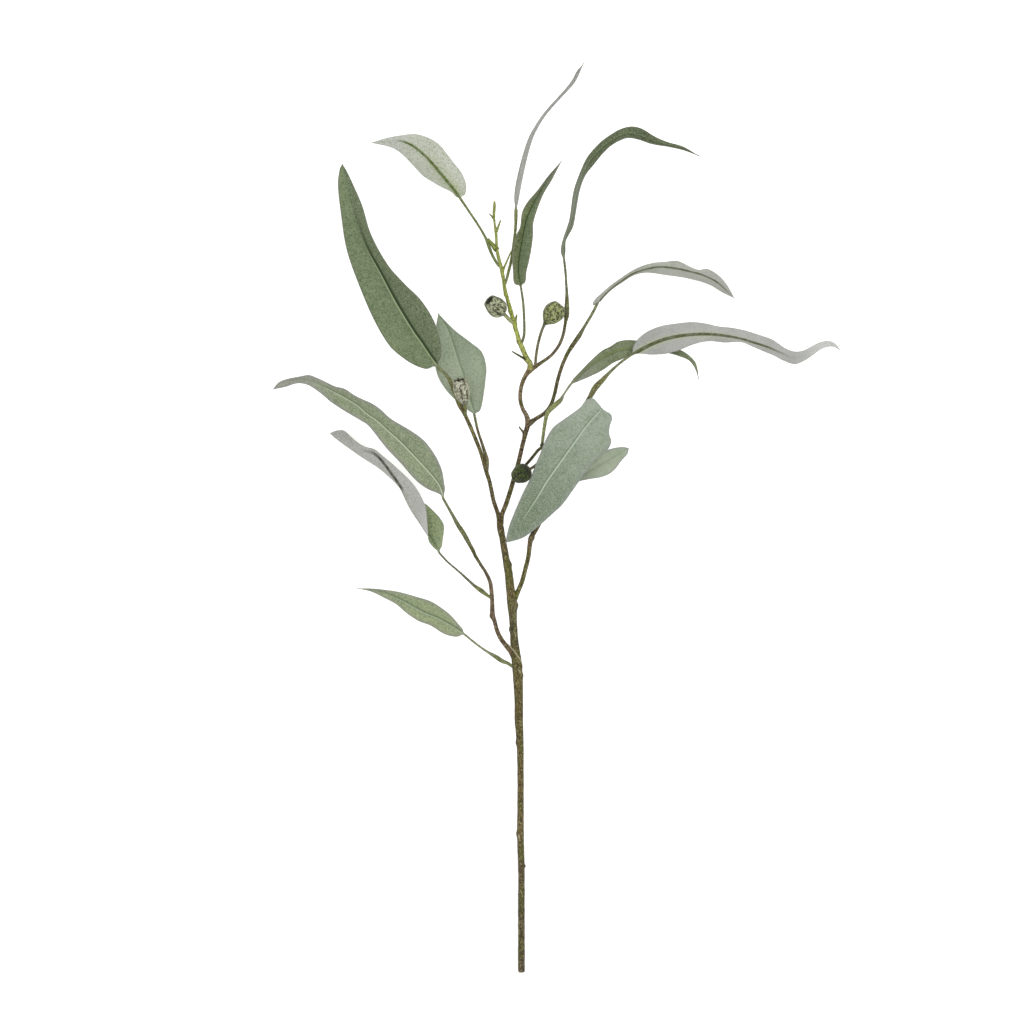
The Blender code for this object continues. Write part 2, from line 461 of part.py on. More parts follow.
            (-103.1, -30.8, 15), (-108.1, -26.2, 18), (-112.6, -20.1, 23), (-113.3, -12.1, 26.5),
            (-114.2, 1.1, 27), (-115.1, 9.2, 26.5), (-117.3, 14.7, 26), (-122.1, 24.3, 24),
            (-128.4, 32.4, 22.5), (-135.5, 39.5, 21), (-144.5, 47.6, 19.5), (-153.6, 55.3, 17.5),
            (-160.7, 60.9, 15), (-168.8, 63.1, 12.5), (-176, 67.4, 10), (-182.2, 72.8, 7.5),
            (-187.6, 77.3, 5), (-194, 77.4, 3), (-200.2, 75, 1.5),
        ),
        right=(
            (-103.1, -30.8, 15), (-101.2, -26.2, 16), (-100.4, -19.5, 17), (-99.3, -11.4, 17.5),
            (-99.4, -6, 17.5), (-102.5, -0.1, 17), (-108.8, 6.7, 16), (-116, 12.9, 14),
            (-127.4, 16.9, 10.5), (-135.5, 23.2, 10.5), (-140, 28.6, 11.5), (-149.1, 37.6, 13),
            (-158, 44.8, 12.5), (-171.5, 53.5, 9.5), (-185, 62.9, 5), (-195.7, 70.9, 2),
            (-200.2, 75, 1.5),
        ),
    ),
    "leaf_left_low": dict(
        finish="blue_green_leaf",
        green_side_up=True,
        stalk=(
            (-43.4, -126.5, 14.2, 1.6), (-47.6, -124.1, 13.6, 2.2), (-54.4, -120.7, 12.6, 1.9),
            (-60.7, -117, 12, 1.6), (-70.8, -110.4, 11.2, 1.5), (-81.1, -102.4, 10.5, 1.2),
        ),
        rib=(
            (-81.1, -102.4, 10.5), (-93.1, -94.8, 11), (-106.2, -87.7, 11), (-116.3, -83.7, 10.5),
            (-136.5, -72.9, 8), (-150.3, -66.7, 5), (-163.5, -63.2, 2.5), (-175.9, -62, 1),
        ),
        left=(
            (-81.1, -102.4, 10.5), (-87.8, -104.4, 11), (-95.1, -103.4, 12.5), (-101.2, -100.8, 13),
            (-111.2, -94.5, 13), (-121.4, -90.7, 12), (-131.5, -84.2, 10), (-141.6, -75.8, 7.5),
            (-151.7, -70.4, 5), (-163.8, -64.7, 2.3), (-175.9, -62, 1),
        ),
        right=(
            (-81.1, -102.4, 10.5), (-82.3, -98.4, 11.5), (-86, -93.8, 12.5), (-93.1, -85.7, 13),
            (-101.2, -79.1, 13.5), (-111.2, -73, 13.5), (-125.4, -68.6, 12), (-138.5, -65, 9.5),
            (-151.7, -63, 6), (-165.8, -61.8, 2.5), (-175.9, -62, 1),
        ),
    ),
}

GUMNUTS = {
    "gumnut_left": (
        (-78.8, 92.6, 31.3), (-79.4, 97, 32.2), (-80.6, 100.9, 33.5), (-84.9, 120.7, 39.5),
    ),
    "gumnut_top": (
        (-43.3, 179.3, 32.9), (-45.1, 180.6, 33), (-48.4, 182.4, 33.5), (-59.4, 192.4, 41),
    ),
    "gumnut_right": (
        (-18.7, 137.1, 31.6), (-18.3, 142.7, 32.6), (-15.7, 155.5, 34), (-12.8, 165.6, 35),
        (-9.2, 172.7, 35.5), (2.6, 188.3, 37.5),
    ),
    "gumnut_centre": (
        (-18, 55.4, 29.6), (-17.8, 50.8, 33.5), (-20.1, 46.4, 39.5), (-24.8, 42.6, 43.5),
        (-36.2, 36.2, 34.5),
    ),
}

# Gumnuts: the stalk's points, then the capsule's base and the middle of its mouth.
# The radius is that of the capsule at its widest.
GUMNUT_RADIUS = {
    "gumnut_left": 7.2,
    "gumnut_top": 8.4,
    "gumnut_right": 8.4,
    "gumnut_centre": 8.5,
}
GUMNUT_STALK_RADIUS = 1.3
# Capsule outline: share of the length from the base, and share of the radius.
# It runs up the outside, over the rim and down to the disc inside the mouth.
GUMNUT_OUTSIDE = (
    (0.0, 0.24), (0.05, 0.46), (0.14, 0.7), (0.3, 0.91), (0.52, 1.0), (0.74, 0.98), (0.88, 0.93),
    (0.96, 0.97),
)
GUMNUT_MOUTH = ((1.0, 0.88), (1.02, 0.72), (0.97, 0.62), (0.9, 0.5), (0.86, 0.16))

# Small nodes and bud scars: the share of the wood's length where each sits, its angle round the wood
# in degrees (0 right, 90 up, 180 left), its length and its width in mm.
WOOD_BUMPS = (
    ("main", 0.236, 10, 5.0, 2.6),
    ("main", 0.306, 170, 5.6, 3.2),
    ("main", 0.507, 185, 5.6, 3.2),
    ("main", 0.655, 15, 4.6, 3.0),
    ("main", 0.757, 175, 4.6, 3.2),
    ("main", 0.81, 0, 5.4, 3.6),
    ("main", 0.9, 5, 4.2, 2.8),
    ("left_branch", 0.42, 180, 4.0, 2.6),
    ("right_branch", 0.3, 0, 4.4, 3.0),
    ("right_twig", 0.4, 175, 4.6, 2.2),
    ("right_twig", 0.45, 20, 4.6, 3.0),
    ("right_twig", 0.68, 140, 4.6, 3.2),
)
TWIG_BUMPS = (
    (0.07, 180, 5.6, 2.2),
    (0.18, 200, 4.4, 2.4),
    (0.29, 0, 5.4, 2.0),
    (0.36, 150, 3.8, 2.2),
    (0.46, 190, 3.6, 2.0),
    (0.6, 10, 3.4, 1.9),
    (0.63, 170, 3.4, 1.8),
    (0.73, 185, 3.2, 1.6),
    (0.83, 10, 6.0, 1.7),
    (0.9, 170, 4.4, 1.6),
)

# Short bare spurs: the root inside the wood and the tip, in mm, and the root's radius.
WOOD_SPURS = (
    ((-28.0, 73.6, 26.4), (-33.2, 80.4, 28.6), 0.9),
)
TWIG_SPURS = (
    ((-28.6, 146.4, 30.2), (-39.4, 146.3, 33.4), 0.9),
    ((-37.2, 170.2, 30.8), (-35.0, 178.6, 32.4), 0.9),
    ((-48.4, 220.2, 31.0), (-40.2, 234.4, 34.6), 0.7),
    ((-53.6, 252.6, 29.9), (-49.3, 261.6, 31.2), 0.6),
    ((-55.0, 264.2, 29.3), (-59.0, 267.4, 30.2), 0.6),
)


def remove_scene_objects():
    for found in list(bpy.data.objects):
        bpy.data.objects.remove(found)


def finish_material(name):
    colour, roughness = FINISHES[name]
    made = bpy.data.materials.get(name)
    if made is None:
        made = bpy.data.materials.new(name)
        made.use_nodes = True
        surface = made.node_tree.nodes["Principled BSDF"]
        surface.inputs["Base Color"].default_value = (*colour, 1.0)
        surface.inputs["Roughness"].default_value = roughness
        surface.inputs["Metallic"].default_value = 0.0
    return made


def unit(vector):
    return vector / np.linalg.norm(vector)


def along(points, shares):
    """Places at shares of the length of one smooth curve through points, and the way it heads there."""
    points = np.array(points, float)
    ends = np.vstack([2 * points[0] - points[1], points, 2 * points[-1] - points[-2]])
    t = np.linspace(0, 1, CURVE_STEPS, endpoint=False)[:, None]
    pieces = []
    for a, b, c, d in zip(ends, ends[1:], ends[2:], ends[3:]):
        before, here, after = (np.linalg.norm((q - p)[:3]) for p, q in ((a, b), (b, c), (c, d)))
        leaving = (c - a) * here / (before + here)
        arriving = (d - b) * here / (here + after)
        ease = t * t * (3 - 2 * t)
        pieces.append(b + ease * (c - b) + t * (1 - t) ** 2 * leaving - t * t * (1 - t) * arriving)
    fine = np.vstack([*pieces, points[-1:]])
    lengths = np.linalg.norm(np.diff(fine[:, :3], axis=0), axis=1)
    walked = np.concatenate([[0], np.cumsum(lengths)])
    heading = np.diff(fine[:, :3], axis=0) / lengths[:, None]
    halfway = (walked[1:] + walked[:-1]) / 2
    wanted = np.array(shares) * walked[-1]
    places = np.column_stack([np.interp(wanted, walked, column) for column in fine.T])
    headings = np.column_stack([np.interp(wanted, halfway, column) for column in heading.T])
    return places, np.array([unit(h) for h in headings])


def squared_off(vector, direction):
    """The part of vector that is square to direction, with length 1."""
    return unit(vector - direction * np.dot(vector, direction))


def loft(name, rings, finish, mirrored_from=None):
    """One closed body through rings of points in mm.

    From column mirrored_from on, the faces split along their other diagonal.
    """
    rings = np.array(rings, float)
    rows, sides = rings.shape[:2]
    body = bmesh.new()
    bmesh.ops.create_grid(body, x_segments=sides, y_segments=rows - 1, size=1)
    body.verts.ensure_lookup_table()
    for vertex in body.verts:
        row, side = divmod(vertex.index, sides + 1)
        vertex.co = rings[row, side % sides] * MM
    near, far = [], []
    for face in body.faces:
        side = face.index % sides
        (near if mirrored_from is None or side < mirrored_from else far).append(face)
    bmesh.ops.triangulate(body, faces=near, quad_method="FIXED")
    if far:
        bmesh.ops.triangulate(body, faces=far, quad_method="ALTERNATE")
    bmesh.ops.remove_doubles(body, verts=body.verts, dist=1e-6)
    open_edges = [edge for edge in body.edges if edge.is_boundary]
    caps = bmesh.ops.holes_fill(body, edges=open_edges, sides=0)["faces"]
    bmesh.ops.triangulate(body, faces=caps)
    bmesh.ops.recalc_face_normals(body, faces=body.faces)
    if body.calc_volume(signed=True) < 0:
        bmesh.ops.reverse_faces(body, faces=body.faces)
    mesh = bpy.data.meshes.new(name)
    body.to_mesh(mesh)
    body.free()
    mesh.shade_smooth()
    mesh.set_sharp_from_angle(angle=math.radians(SHARP_ANGLE))
    mesh.materials.append(finish_material(finish))
    made = bpy.data.objects.new(name, mesh)
    bpy.context.scene.collection.objects.link(made)
    return made


def round_rings(path, headings, radii, side, count):
    """Rings square to a path. side is the way that column 0 faces, as near as the path allows."""
    rings = []
    for place, direction, radius in zip(path, headings, radii):
        side = squared_off(side, direction)
        up = np.cross(direction, side)
        turns = [math.tau * (n + 0.5) / count for n in range(count)]
        rings.append([place + radius * (math.cos(a) * side + math.sin(a) * up) for a in turns])
    return rings


def tube(name, points, sides, finish):
    """A stem or twig through points of x, y, z and radius."""
    length = sum(math.dist(a[:3], b[:3]) for a, b in zip(points, points[1:]))
    rows = max(LEAST_RINGS, round(length / RING_SPACING))
    stations, headings = along(points, np.linspace(0, 1, rows))
    rings = round_rings(stations[:, :3], headings, stations[:, 3], np.array([0, 0, 1.0]), sides)
    return loft(name, rings, finish)


def blade_surface(leaf):
    """Middle surface of the blade as rows of five points, with the upward direction at each."""
    shares = 1 - (1 - np.linspace(BLADE_START, 1, BLADE_ROWS)) ** ROW_CROWDING
    rib, forward = along(leaf["rib"], shares)
    left, _ = along(leaf["left"], shares)
    right, _ = along(leaf["right"], shares)
    over = right[0] - left[0]
    rows = []
    for place, ahead, a, b in zip(rib, forward, left, right):
        over = unit(b - a) if math.dist(a, b) > NARROW_WIDTH else squared_off(over, ahead)
        a = a - over * max(0.0, TIP_HALF_WIDTH + np.dot(a - place, over))
        b = b + over * max(0.0, TIP_HALF_WIDTH - np.dot(b - place, over))
        lift = unit(np.cross(over, ahead))
        row = []
        for share in BLADE_COLUMNS:
            edge = a if share < 0 else b
            span = abs(share)
            bulge = 4 * span * (1 - span) * BLADE_CAMBER * np.linalg.norm(edge - place)
            row.append(place + span * (edge - place) + bulge * lift)
        rows.append(row)
    surface = np.array(rows)
    surface[surface[:, :, 2] < FLAT_BELOW, 2] = BLADE_THICKNESS / 2
    lengthwise, crosswise = np.gradient(surface, axis=0), np.gradient(surface, axis=1)
    outward = np.cross(crosswise, lengthwise)
    outward /= np.linalg.norm(outward, axis=2)[:, :, None]
    return surface, outward, shares


def leaf_body(name, leaf):
    """Round stalk and thin blade in one loft, ten points to a ring: five on top and five below.

    The stalk's rings run back from the blade, so that they meet it the right way round.
    """
    surface, outward, shares = blade_surface(leaf)
    stalk, headings = along(rooted(name, leaf["stalk"]), np.linspace(0, 1, STALK_ROWS))
    side = surface[0, 0] - surface[0, -1]
    back = slice(None, None, -1)
    rings = round_rings(stalk[back, :3], headings[back], stalk[back, 3], side, 2 * len(BLADE_COLUMNS))
    rings.reverse()
    rib_side = 1 if leaf["green_side_up"] else -1
    half = BLADE_THICKNESS / 2
    middle = len(BLADE_COLUMNS) // 2
    for row, normals, share in zip(surface, outward, shares):
        upper, lower = row + half * normals, row - half * normals
        ridge = RIB_RIDGE * max(0.0, 1 - share / RIDGE_END) ** RIDGE_FADE
        if rib_side > 0:
            lower[middle] -= ridge * normals[middle]
        else:
            upper[middle] += ridge * normals[middle]
        rings.append([*upper, *lower[::-1]])
    return loft(name, rings, leaf["finish"], mirrored_from=len(BLADE_COLUMNS))


def seat(points):
    """Where a twig ends: on the line of the stalk that it carries, JOIN_GAP short of it."""
    first, second = np.array(points[0][:3]), np.array(points[1][:3])
    back = unit(first - second)
    radius = points[0][3]
    return [(*(first + back * reach), radius) for reach in (SEAT_LENGTH + JOIN_GAP, JOIN_GAP)]


def rooted(name, points):
    """Stalk points, the first moved to the side of the wood that carries the stalk, JOIN_GAP off it."""
    if name not in CARRIED_AT_THE_SIDE:
        return points
    wood, headings = along(CARRIED_AT_THE_SIDE[name], np.linspace(0, 1, SEARCH_STEPS))
    first = np.array(points[0][:3])
    nearest = np.argmin(np.linalg.norm(wood[:, :3] - first, axis=1))
    axis, radius = wood[nearest, :3], wood[nearest, 3]
    outward = squared_off(first - axis, headings[nearest])
    start = radius + JOIN_GAP
    foot = [(*(axis + outward * far), *points[0][3:]) for far in (start, start + STALK_FOOT)]
    return [*foot, *points[1:]]


def bump(points, detail, share, angle, long_size, wide_size):
    """A rounded node half sunk in the wood, longest along it."""
    (place,), (direction,) = along(points, (share,))
    up = squared_off(np.array([0, 0, 1.0]), direction)
    right = np.cross(direction, up)
    turn = math.radians(angle)
    middle = place[:3] + place[3] * BUMP_SINK * (math.cos(turn) * right + math.sin(turn) * up)
    body = bmesh.new()
    bmesh.ops.create_icosphere(body, subdivisions=detail, radius=0.5)
    frame = np.column_stack([right * wide_size, direction * long_size, up * wide_size])
    for vertex in body.verts:
        vertex.co = (middle + frame @ np.array(vertex.co)) * MM
    mesh = bpy.data.meshes.new("bump")
    body.to_mesh(mesh)
    body.free()
    made = bpy.data.objects.new("bump", mesh)
    bpy.context.scene.collection.objects.link(made)
    return made


def spur(root, tip, radius):
    """A thin pointed spur that bends up towards its tip."""
    root, tip = np.array(root), np.array(tip)
    far, sag = SPUR_KNEE
    knee = root + far * (tip - root) - np.array([0, 0, sag]) * np.linalg.norm(tip - root)
    points = [(*place, radius * taper) for place, taper in zip((root, knee, tip), SPUR_TAPER)]
    return tube("spur", points, SPUR_SIDES, "bark")


def fused(base, others):
    """Joins others to base with one Boolean union on a collection, and removes them."""
    joined = bpy.data.collections.new("joined")
    bpy.context.scene.collection.children.link(joined)
    for other in others:
        bpy.context.scene.collection.objects.unlink(other)
        joined.objects.link(other)
    union = base.modifiers.new("union", "BOOLEAN")
    union.operation = "UNION"
    union.operand_type = "COLLECTION"
    union.collection = joined
    union.solver = "EXACT"
    graph = bpy.context.evaluated_depsgraph_get()
    mesh = bpy.data.meshes.new_from_object(base.evaluated_get(graph))
    base.modifiers.clear()
    base.data = mesh
    mesh.name = base.name
    for other in others:
        bpy.data.objects.remove(other)
    bpy.data.collections.remove(joined)
    return base


def stem():
    main = tube("stem", WOOD["main"], WOOD_SIDES, "bark")
    branches = []
    for name, points in WOOD.items():
        if name == "main":
            continue
        carried = CARRIED_AT_THE_END[name]
        ended = [*points, *seat(LEAVES[carried]["stalk"])]
        branches.append(tube(name, ended, TWIG_SIDES, "bark"))
    branches += [bump(WOOD[name], BUMP_DETAIL["stem"], *place) for name, *place in WOOD_BUMPS]
    branches += [spur(*ends) for ends in WOOD_SPURS]
    return fused(main, branches)


def flowering_twig():
    twig_points = rooted("flowering_twig", FLOWERING_TWIG)
    twig = tube("flowering_twig", twig_points, TWIG_SIDES, "lime_twig")
    grown = [bump(twig_points, BUMP_DETAIL["flowering_twig"], *place) for place in TWIG_BUMPS]
    grown += [spur(*ends) for ends in TWIG_SPURS]
    return fused(twig, grown)


def gumnut(name, points):
    """Stalk, ribbed capsule and its open mouth in one loft."""
    *stalk_points, mouth = rooted(name, points)
    base, mouth = np.array(stalk_points[-1]), np.array(mouth)
    length = np.linalg.norm(mouth - base)
    axis = unit(mouth - base)
    stalk, headings = along(stalk_points, np.linspace(0, 1, GUMNUT_STALK_ROWS))
    count = 2 * GUMNUT_RIBS
    side = np.array(GUMNUT_SIDE)
    radii = [GUMNUT_STALK_RADIUS] * (GUMNUT_STALK_ROWS - 1)
    rings = round_rings(stalk[:-1], headings[:-1], radii, side, count)
    side = squared_off(side, axis)
    up = np.cross(axis, side)
    outline = [*GUMNUT_OUTSIDE, *GUMNUT_MOUTH]
    for step, (share, wide) in enumerate(outline):
        ribbed = GUMNUT_RIB_DEPTH if 1 < step < len(GUMNUT_OUTSIDE) else 0.0
        ring = []
        for n in range(count):
            turn = math.tau * (n + 0.5) / count
            radius = GUMNUT_RADIUS[name] * wide * (1 - ribbed * (n % 2))
            spoke = math.cos(turn) * side + math.sin(turn) * up
            ring.append(base + axis * length * share + radius * spoke)
        rings.append(ring)
    return loft(name, rings, "gumnut")


def build():
    remove_scene_objects()
    stem()
    flowering_twig()
    for name, leaf in LEAVES.items():
        leaf_body(name, leaf)
    for name, points in GUMNUTS.items():
        gumnut(name, points)


build()
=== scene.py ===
# Eucalyptus branch lying on a pale surface, seen from straight above.
# Lengths in the tables are in mm. +Y is up in the picture, +X right, +Z towards the camera.
import math

import bmesh
import bpy
import numpy as np
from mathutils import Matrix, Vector, noise


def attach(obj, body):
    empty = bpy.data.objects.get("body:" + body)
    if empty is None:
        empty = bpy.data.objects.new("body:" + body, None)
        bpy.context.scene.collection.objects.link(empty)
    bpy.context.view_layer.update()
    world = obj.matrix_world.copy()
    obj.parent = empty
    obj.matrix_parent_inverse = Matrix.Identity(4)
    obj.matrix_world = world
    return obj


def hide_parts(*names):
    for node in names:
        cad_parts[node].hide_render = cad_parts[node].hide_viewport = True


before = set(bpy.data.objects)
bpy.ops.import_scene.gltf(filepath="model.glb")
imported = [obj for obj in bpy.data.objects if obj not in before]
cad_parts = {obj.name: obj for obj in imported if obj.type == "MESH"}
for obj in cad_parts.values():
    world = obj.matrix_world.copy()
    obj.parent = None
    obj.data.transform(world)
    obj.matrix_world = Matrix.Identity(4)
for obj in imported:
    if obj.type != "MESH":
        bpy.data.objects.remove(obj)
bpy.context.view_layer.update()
print("frame loaded")

mm = 0.001
curveSteps = 12
underLight = 0.7  # colours are darkened by this, so that they look right under the stage's light
leafSettings = {
    "stalkRows": 56,
    "bladeRows": 150,
    "columns": 16,  # on each side of the midrib
    "columnCrowding": 1.4,  # above 1 the columns crowd towards the midrib
    "rowCrowding": 1.15,
    "thickness": 0.46,
    "leastHalfWidth": 0.4,
    "narrowWidth": 2.0,
    "camber": 0.04,
    "baseBlend": 0.045,  # share of the blade over which the round stalk flattens
    "ribHeight": 0.85,
    "ribHalfWidth": 0.95,
    "ribEnd": 0.96,  # share of the blade at which the midrib has faded out
    "grooveDepth": 0.12,
    "grooveHalfWidth": 0.55,
    "edgeThinning": 0.65,
    "stalkLumps": 0.07,
    "lumpsPerMm": 0.35,
    "lowest": 0.32,
    "highest": 47.1,
    "floorGap": 0.02,
}
woodSettings = {
    "ringSpacing": 0.9,
    "sides": 26,
    "roughness": 0.055,
    "bumpsRound": 1.6,
    "bumpsPerMm": 0.16,
    "fineBumps": 3.1,  # how many times smaller the second set of bumps is
    "fineShare": 0.5,
    "seedStep": 7.3,
    "grainStep": 31.0,
    "collar": 1.25,  # how much wider a branch is where it leaves the wood
    "collarLength": 3.2,  # in radii
    "cutRounding": 1.4,  # mm of the cut end over which its edge is rounded
}
spurSettings = {"kneeAt": 0.55, "sag": 0.12, "kneeWidth": 0.8, "tipWidth": 0.55}
spurChanges = {"sides": 10}
limeChanges = {"sides": 22, "roughness": 0.16}
gumnutSettings = {"sides": 64, "stalkRows": 18, "outlineRows": 64, "lumps": 0.05}
# Each skin of wood has its own place in the noise
firstSeed = {"branch": 1, "spur": 20, "strip": 30, "limeTwig": 40, "limeSpur": 60}

# Wood: x, y, height of the axis and radius
woodPoints = {
    "main": (
        (-31.1, -400.7, 3.5, 3), (-31.1, -369.4, 3.6, 3), (-31.1, -341.8, 4.1, 2.95),
        (-31.1, -309.6, 5, 2.9), (-31.9, -281.4, 6, 3.05), (-31.8, -234.8, 8, 2.8),
        (-32.2, -198.7, 10, 3.1), (-33.3, -179.3, 11, 3.7), (-33.4, -160, 12.5, 3.8),
        (-34.1, -142.4, 14, 4.3), (-35, -129.2, 15, 4.4), (-36.3, -117.7, 15.8, 4.1),
        (-37.4, -107.2, 16.5, 3.6), (-38, -95.7, 17.2, 3.3), (-38.6, -86.9, 17.8, 3.6),
        (-39.2, -76, 18.5, 4.3), (-40.7, -63.2, 19.3, 3.9), (-42.4, -48.2, 20.2, 3.6),
        (-45.1, -33.3, 21, 3.1), (-47.5, -19.2, 22, 2.8), (-49.7, -7.7, 22.8, 3),
        (-50.6, -1.6, 23.3, 2.4),
    ),
    "left_twig": (
        (-49.6, -6, 22.9, 2.2), (-51.7, 3.7, 23.5, 1.9), (-55.4, 14.7, 24, 1.8), (-59, 31.5, 24.6, 1.8),
        (-62.4, 42.4, 25, 1.8), (-66.5, 56.8, 25.6, 1.7), (-72.4, 72.1, 26.3, 1.7),
        (-77.4, 83.8, 27, 1.7), (-81.7, 93, 27.6, 1.8),
    ),
    "right_twig": (
        (-49.8, -6, 22.9, 2.3), (-48.2, 3.3, 23.4, 2), (-45.3, 10.7, 23.6, 2), (-41.7, 21.3, 24, 2),
        (-38.2, 33.1, 24.3, 2), (-33.5, 50.1, 25, 1.9), (-31, 61, 25.6, 1.9), (-27.6, 74.4, 26.4, 2),
        (-25.5, 83.2, 27, 2.4), (-26.6, 89.9, 27.4, 2), (-30.1, 96.5, 27.8, 1.8),
        (-32.1, 104.5, 28.2, 1.8), (-31.3, 115.4, 28.6, 1.8), (-27.7, 124.9, 29, 1.9),
        (-22.9, 130.6, 29.2, 2.3), (-17.9, 133.9, 29, 1.9), (-12.1, 137.9, 28.6, 1.5),
        (-5.5, 142.7, 28, 1.4), (1.1, 150.7, 27.2, 1.4), (5.3, 160.3, 26.7, 1.4),
        (7.7, 172.7, 26.3, 1.5),
    ),
    "right_spray": (
        (-25.5, 82.4, 26.9, 2.2), (-18.2, 87.6, 26.6, 1.8), (-10.9, 92.4, 26.4, 1.7),
        (-5.5, 99.2, 26, 1.6), (-2.2, 108.4, 25.7, 1.6), (0.8, 121.6, 25.3, 1.6), (4.6, 134, 25, 1.6),
        (9.3, 144.7, 24.5, 1.7),
    ),
    "right_branch": (
        (-38.1, -72, 18.6, 2.5), (-34.1, -64.1, 19.2, 2.1), (-30.7, -56.1, 19.8, 2),
        (-27.3, -43.4, 20.8, 2), (-24.9, -33.3, 21.5, 2), (-23.9, -24.5, 22, 2.1),
        (-22.7, -17.4, 22.4, 2.3), (-16.7, -6.9, 23.1, 2), (-10.4, 7.2, 24.2, 1.9),
        (-2.5, 30.1, 26, 1.9), (6.3, 53, 27.6, 1.9), (14.3, 74.1, 28.8, 1.8), (22.6, 93.9, 29.8, 1.8),
    ),
    "left_branch": (
        (-34.6, -128.3, 15, 2.6), (-40.3, -117.6, 16, 2.3), (-44.8, -112, 16.4, 2.1),
        (-49.3, -105.8, 16.7, 2), (-52.6, -98.6, 17, 1.9), (-54.9, -90.1, 17.3, 1.9),
        (-56.6, -84.5, 17.5, 2.2), (-56.8, -76, 17.6, 1.9), (-57.4, -64.9, 17.8, 1.8),
        (-58.6, -56.6, 17.9, 1.7), (-61.9, -48.7, 18, 1.5), (-66.7, -41.2, 18, 1.4),
        (-71.5, -33.3, 18, 1.5),
    ),
    "centre_twig": (
        (-36.1, 40.5, 24.4, 1.4), (-32.4, 42.4, 24.8, 1.4), (-26.8, 47.5, 25.6, 1.3),
        (-21.4, 53.7, 27, 1.3), (-16.7, 59.6, 28.6, 1.3),
    ),
}
limeTwigPoints = (
    (-23.6, 135.8, 29.7, 2.1), (-26.2, 140.5, 29.9, 2.1), (-29.9, 148.3, 30.1, 2.1),
    (-32.8, 155.5, 30.3, 1.9), (-36.4, 167.2, 30.6, 1.9), (-38.9, 176.6, 30.8, 1.8),
    (-42.8, 190.3, 31, 1.7), (-45.7, 201.3, 31.2, 1.6), (-47.2, 211.5, 31.2, 1.5),
    (-49, 221, 31, 1.5), (-51.1, 228.3, 30.8, 1.4), (-52.8, 237.8, 30.4, 1.3),
    (-53.3, 248, 30, 1.2), (-54.5, 257, 29.6, 1), (-55, 263.5, 29.3, 0.95),
    (-55.2, 268.5, 29.1, 1.3), (-54.9, 275, 28.9, 1.3), (-54.8, 278.7, 28.8, 0.7),
)

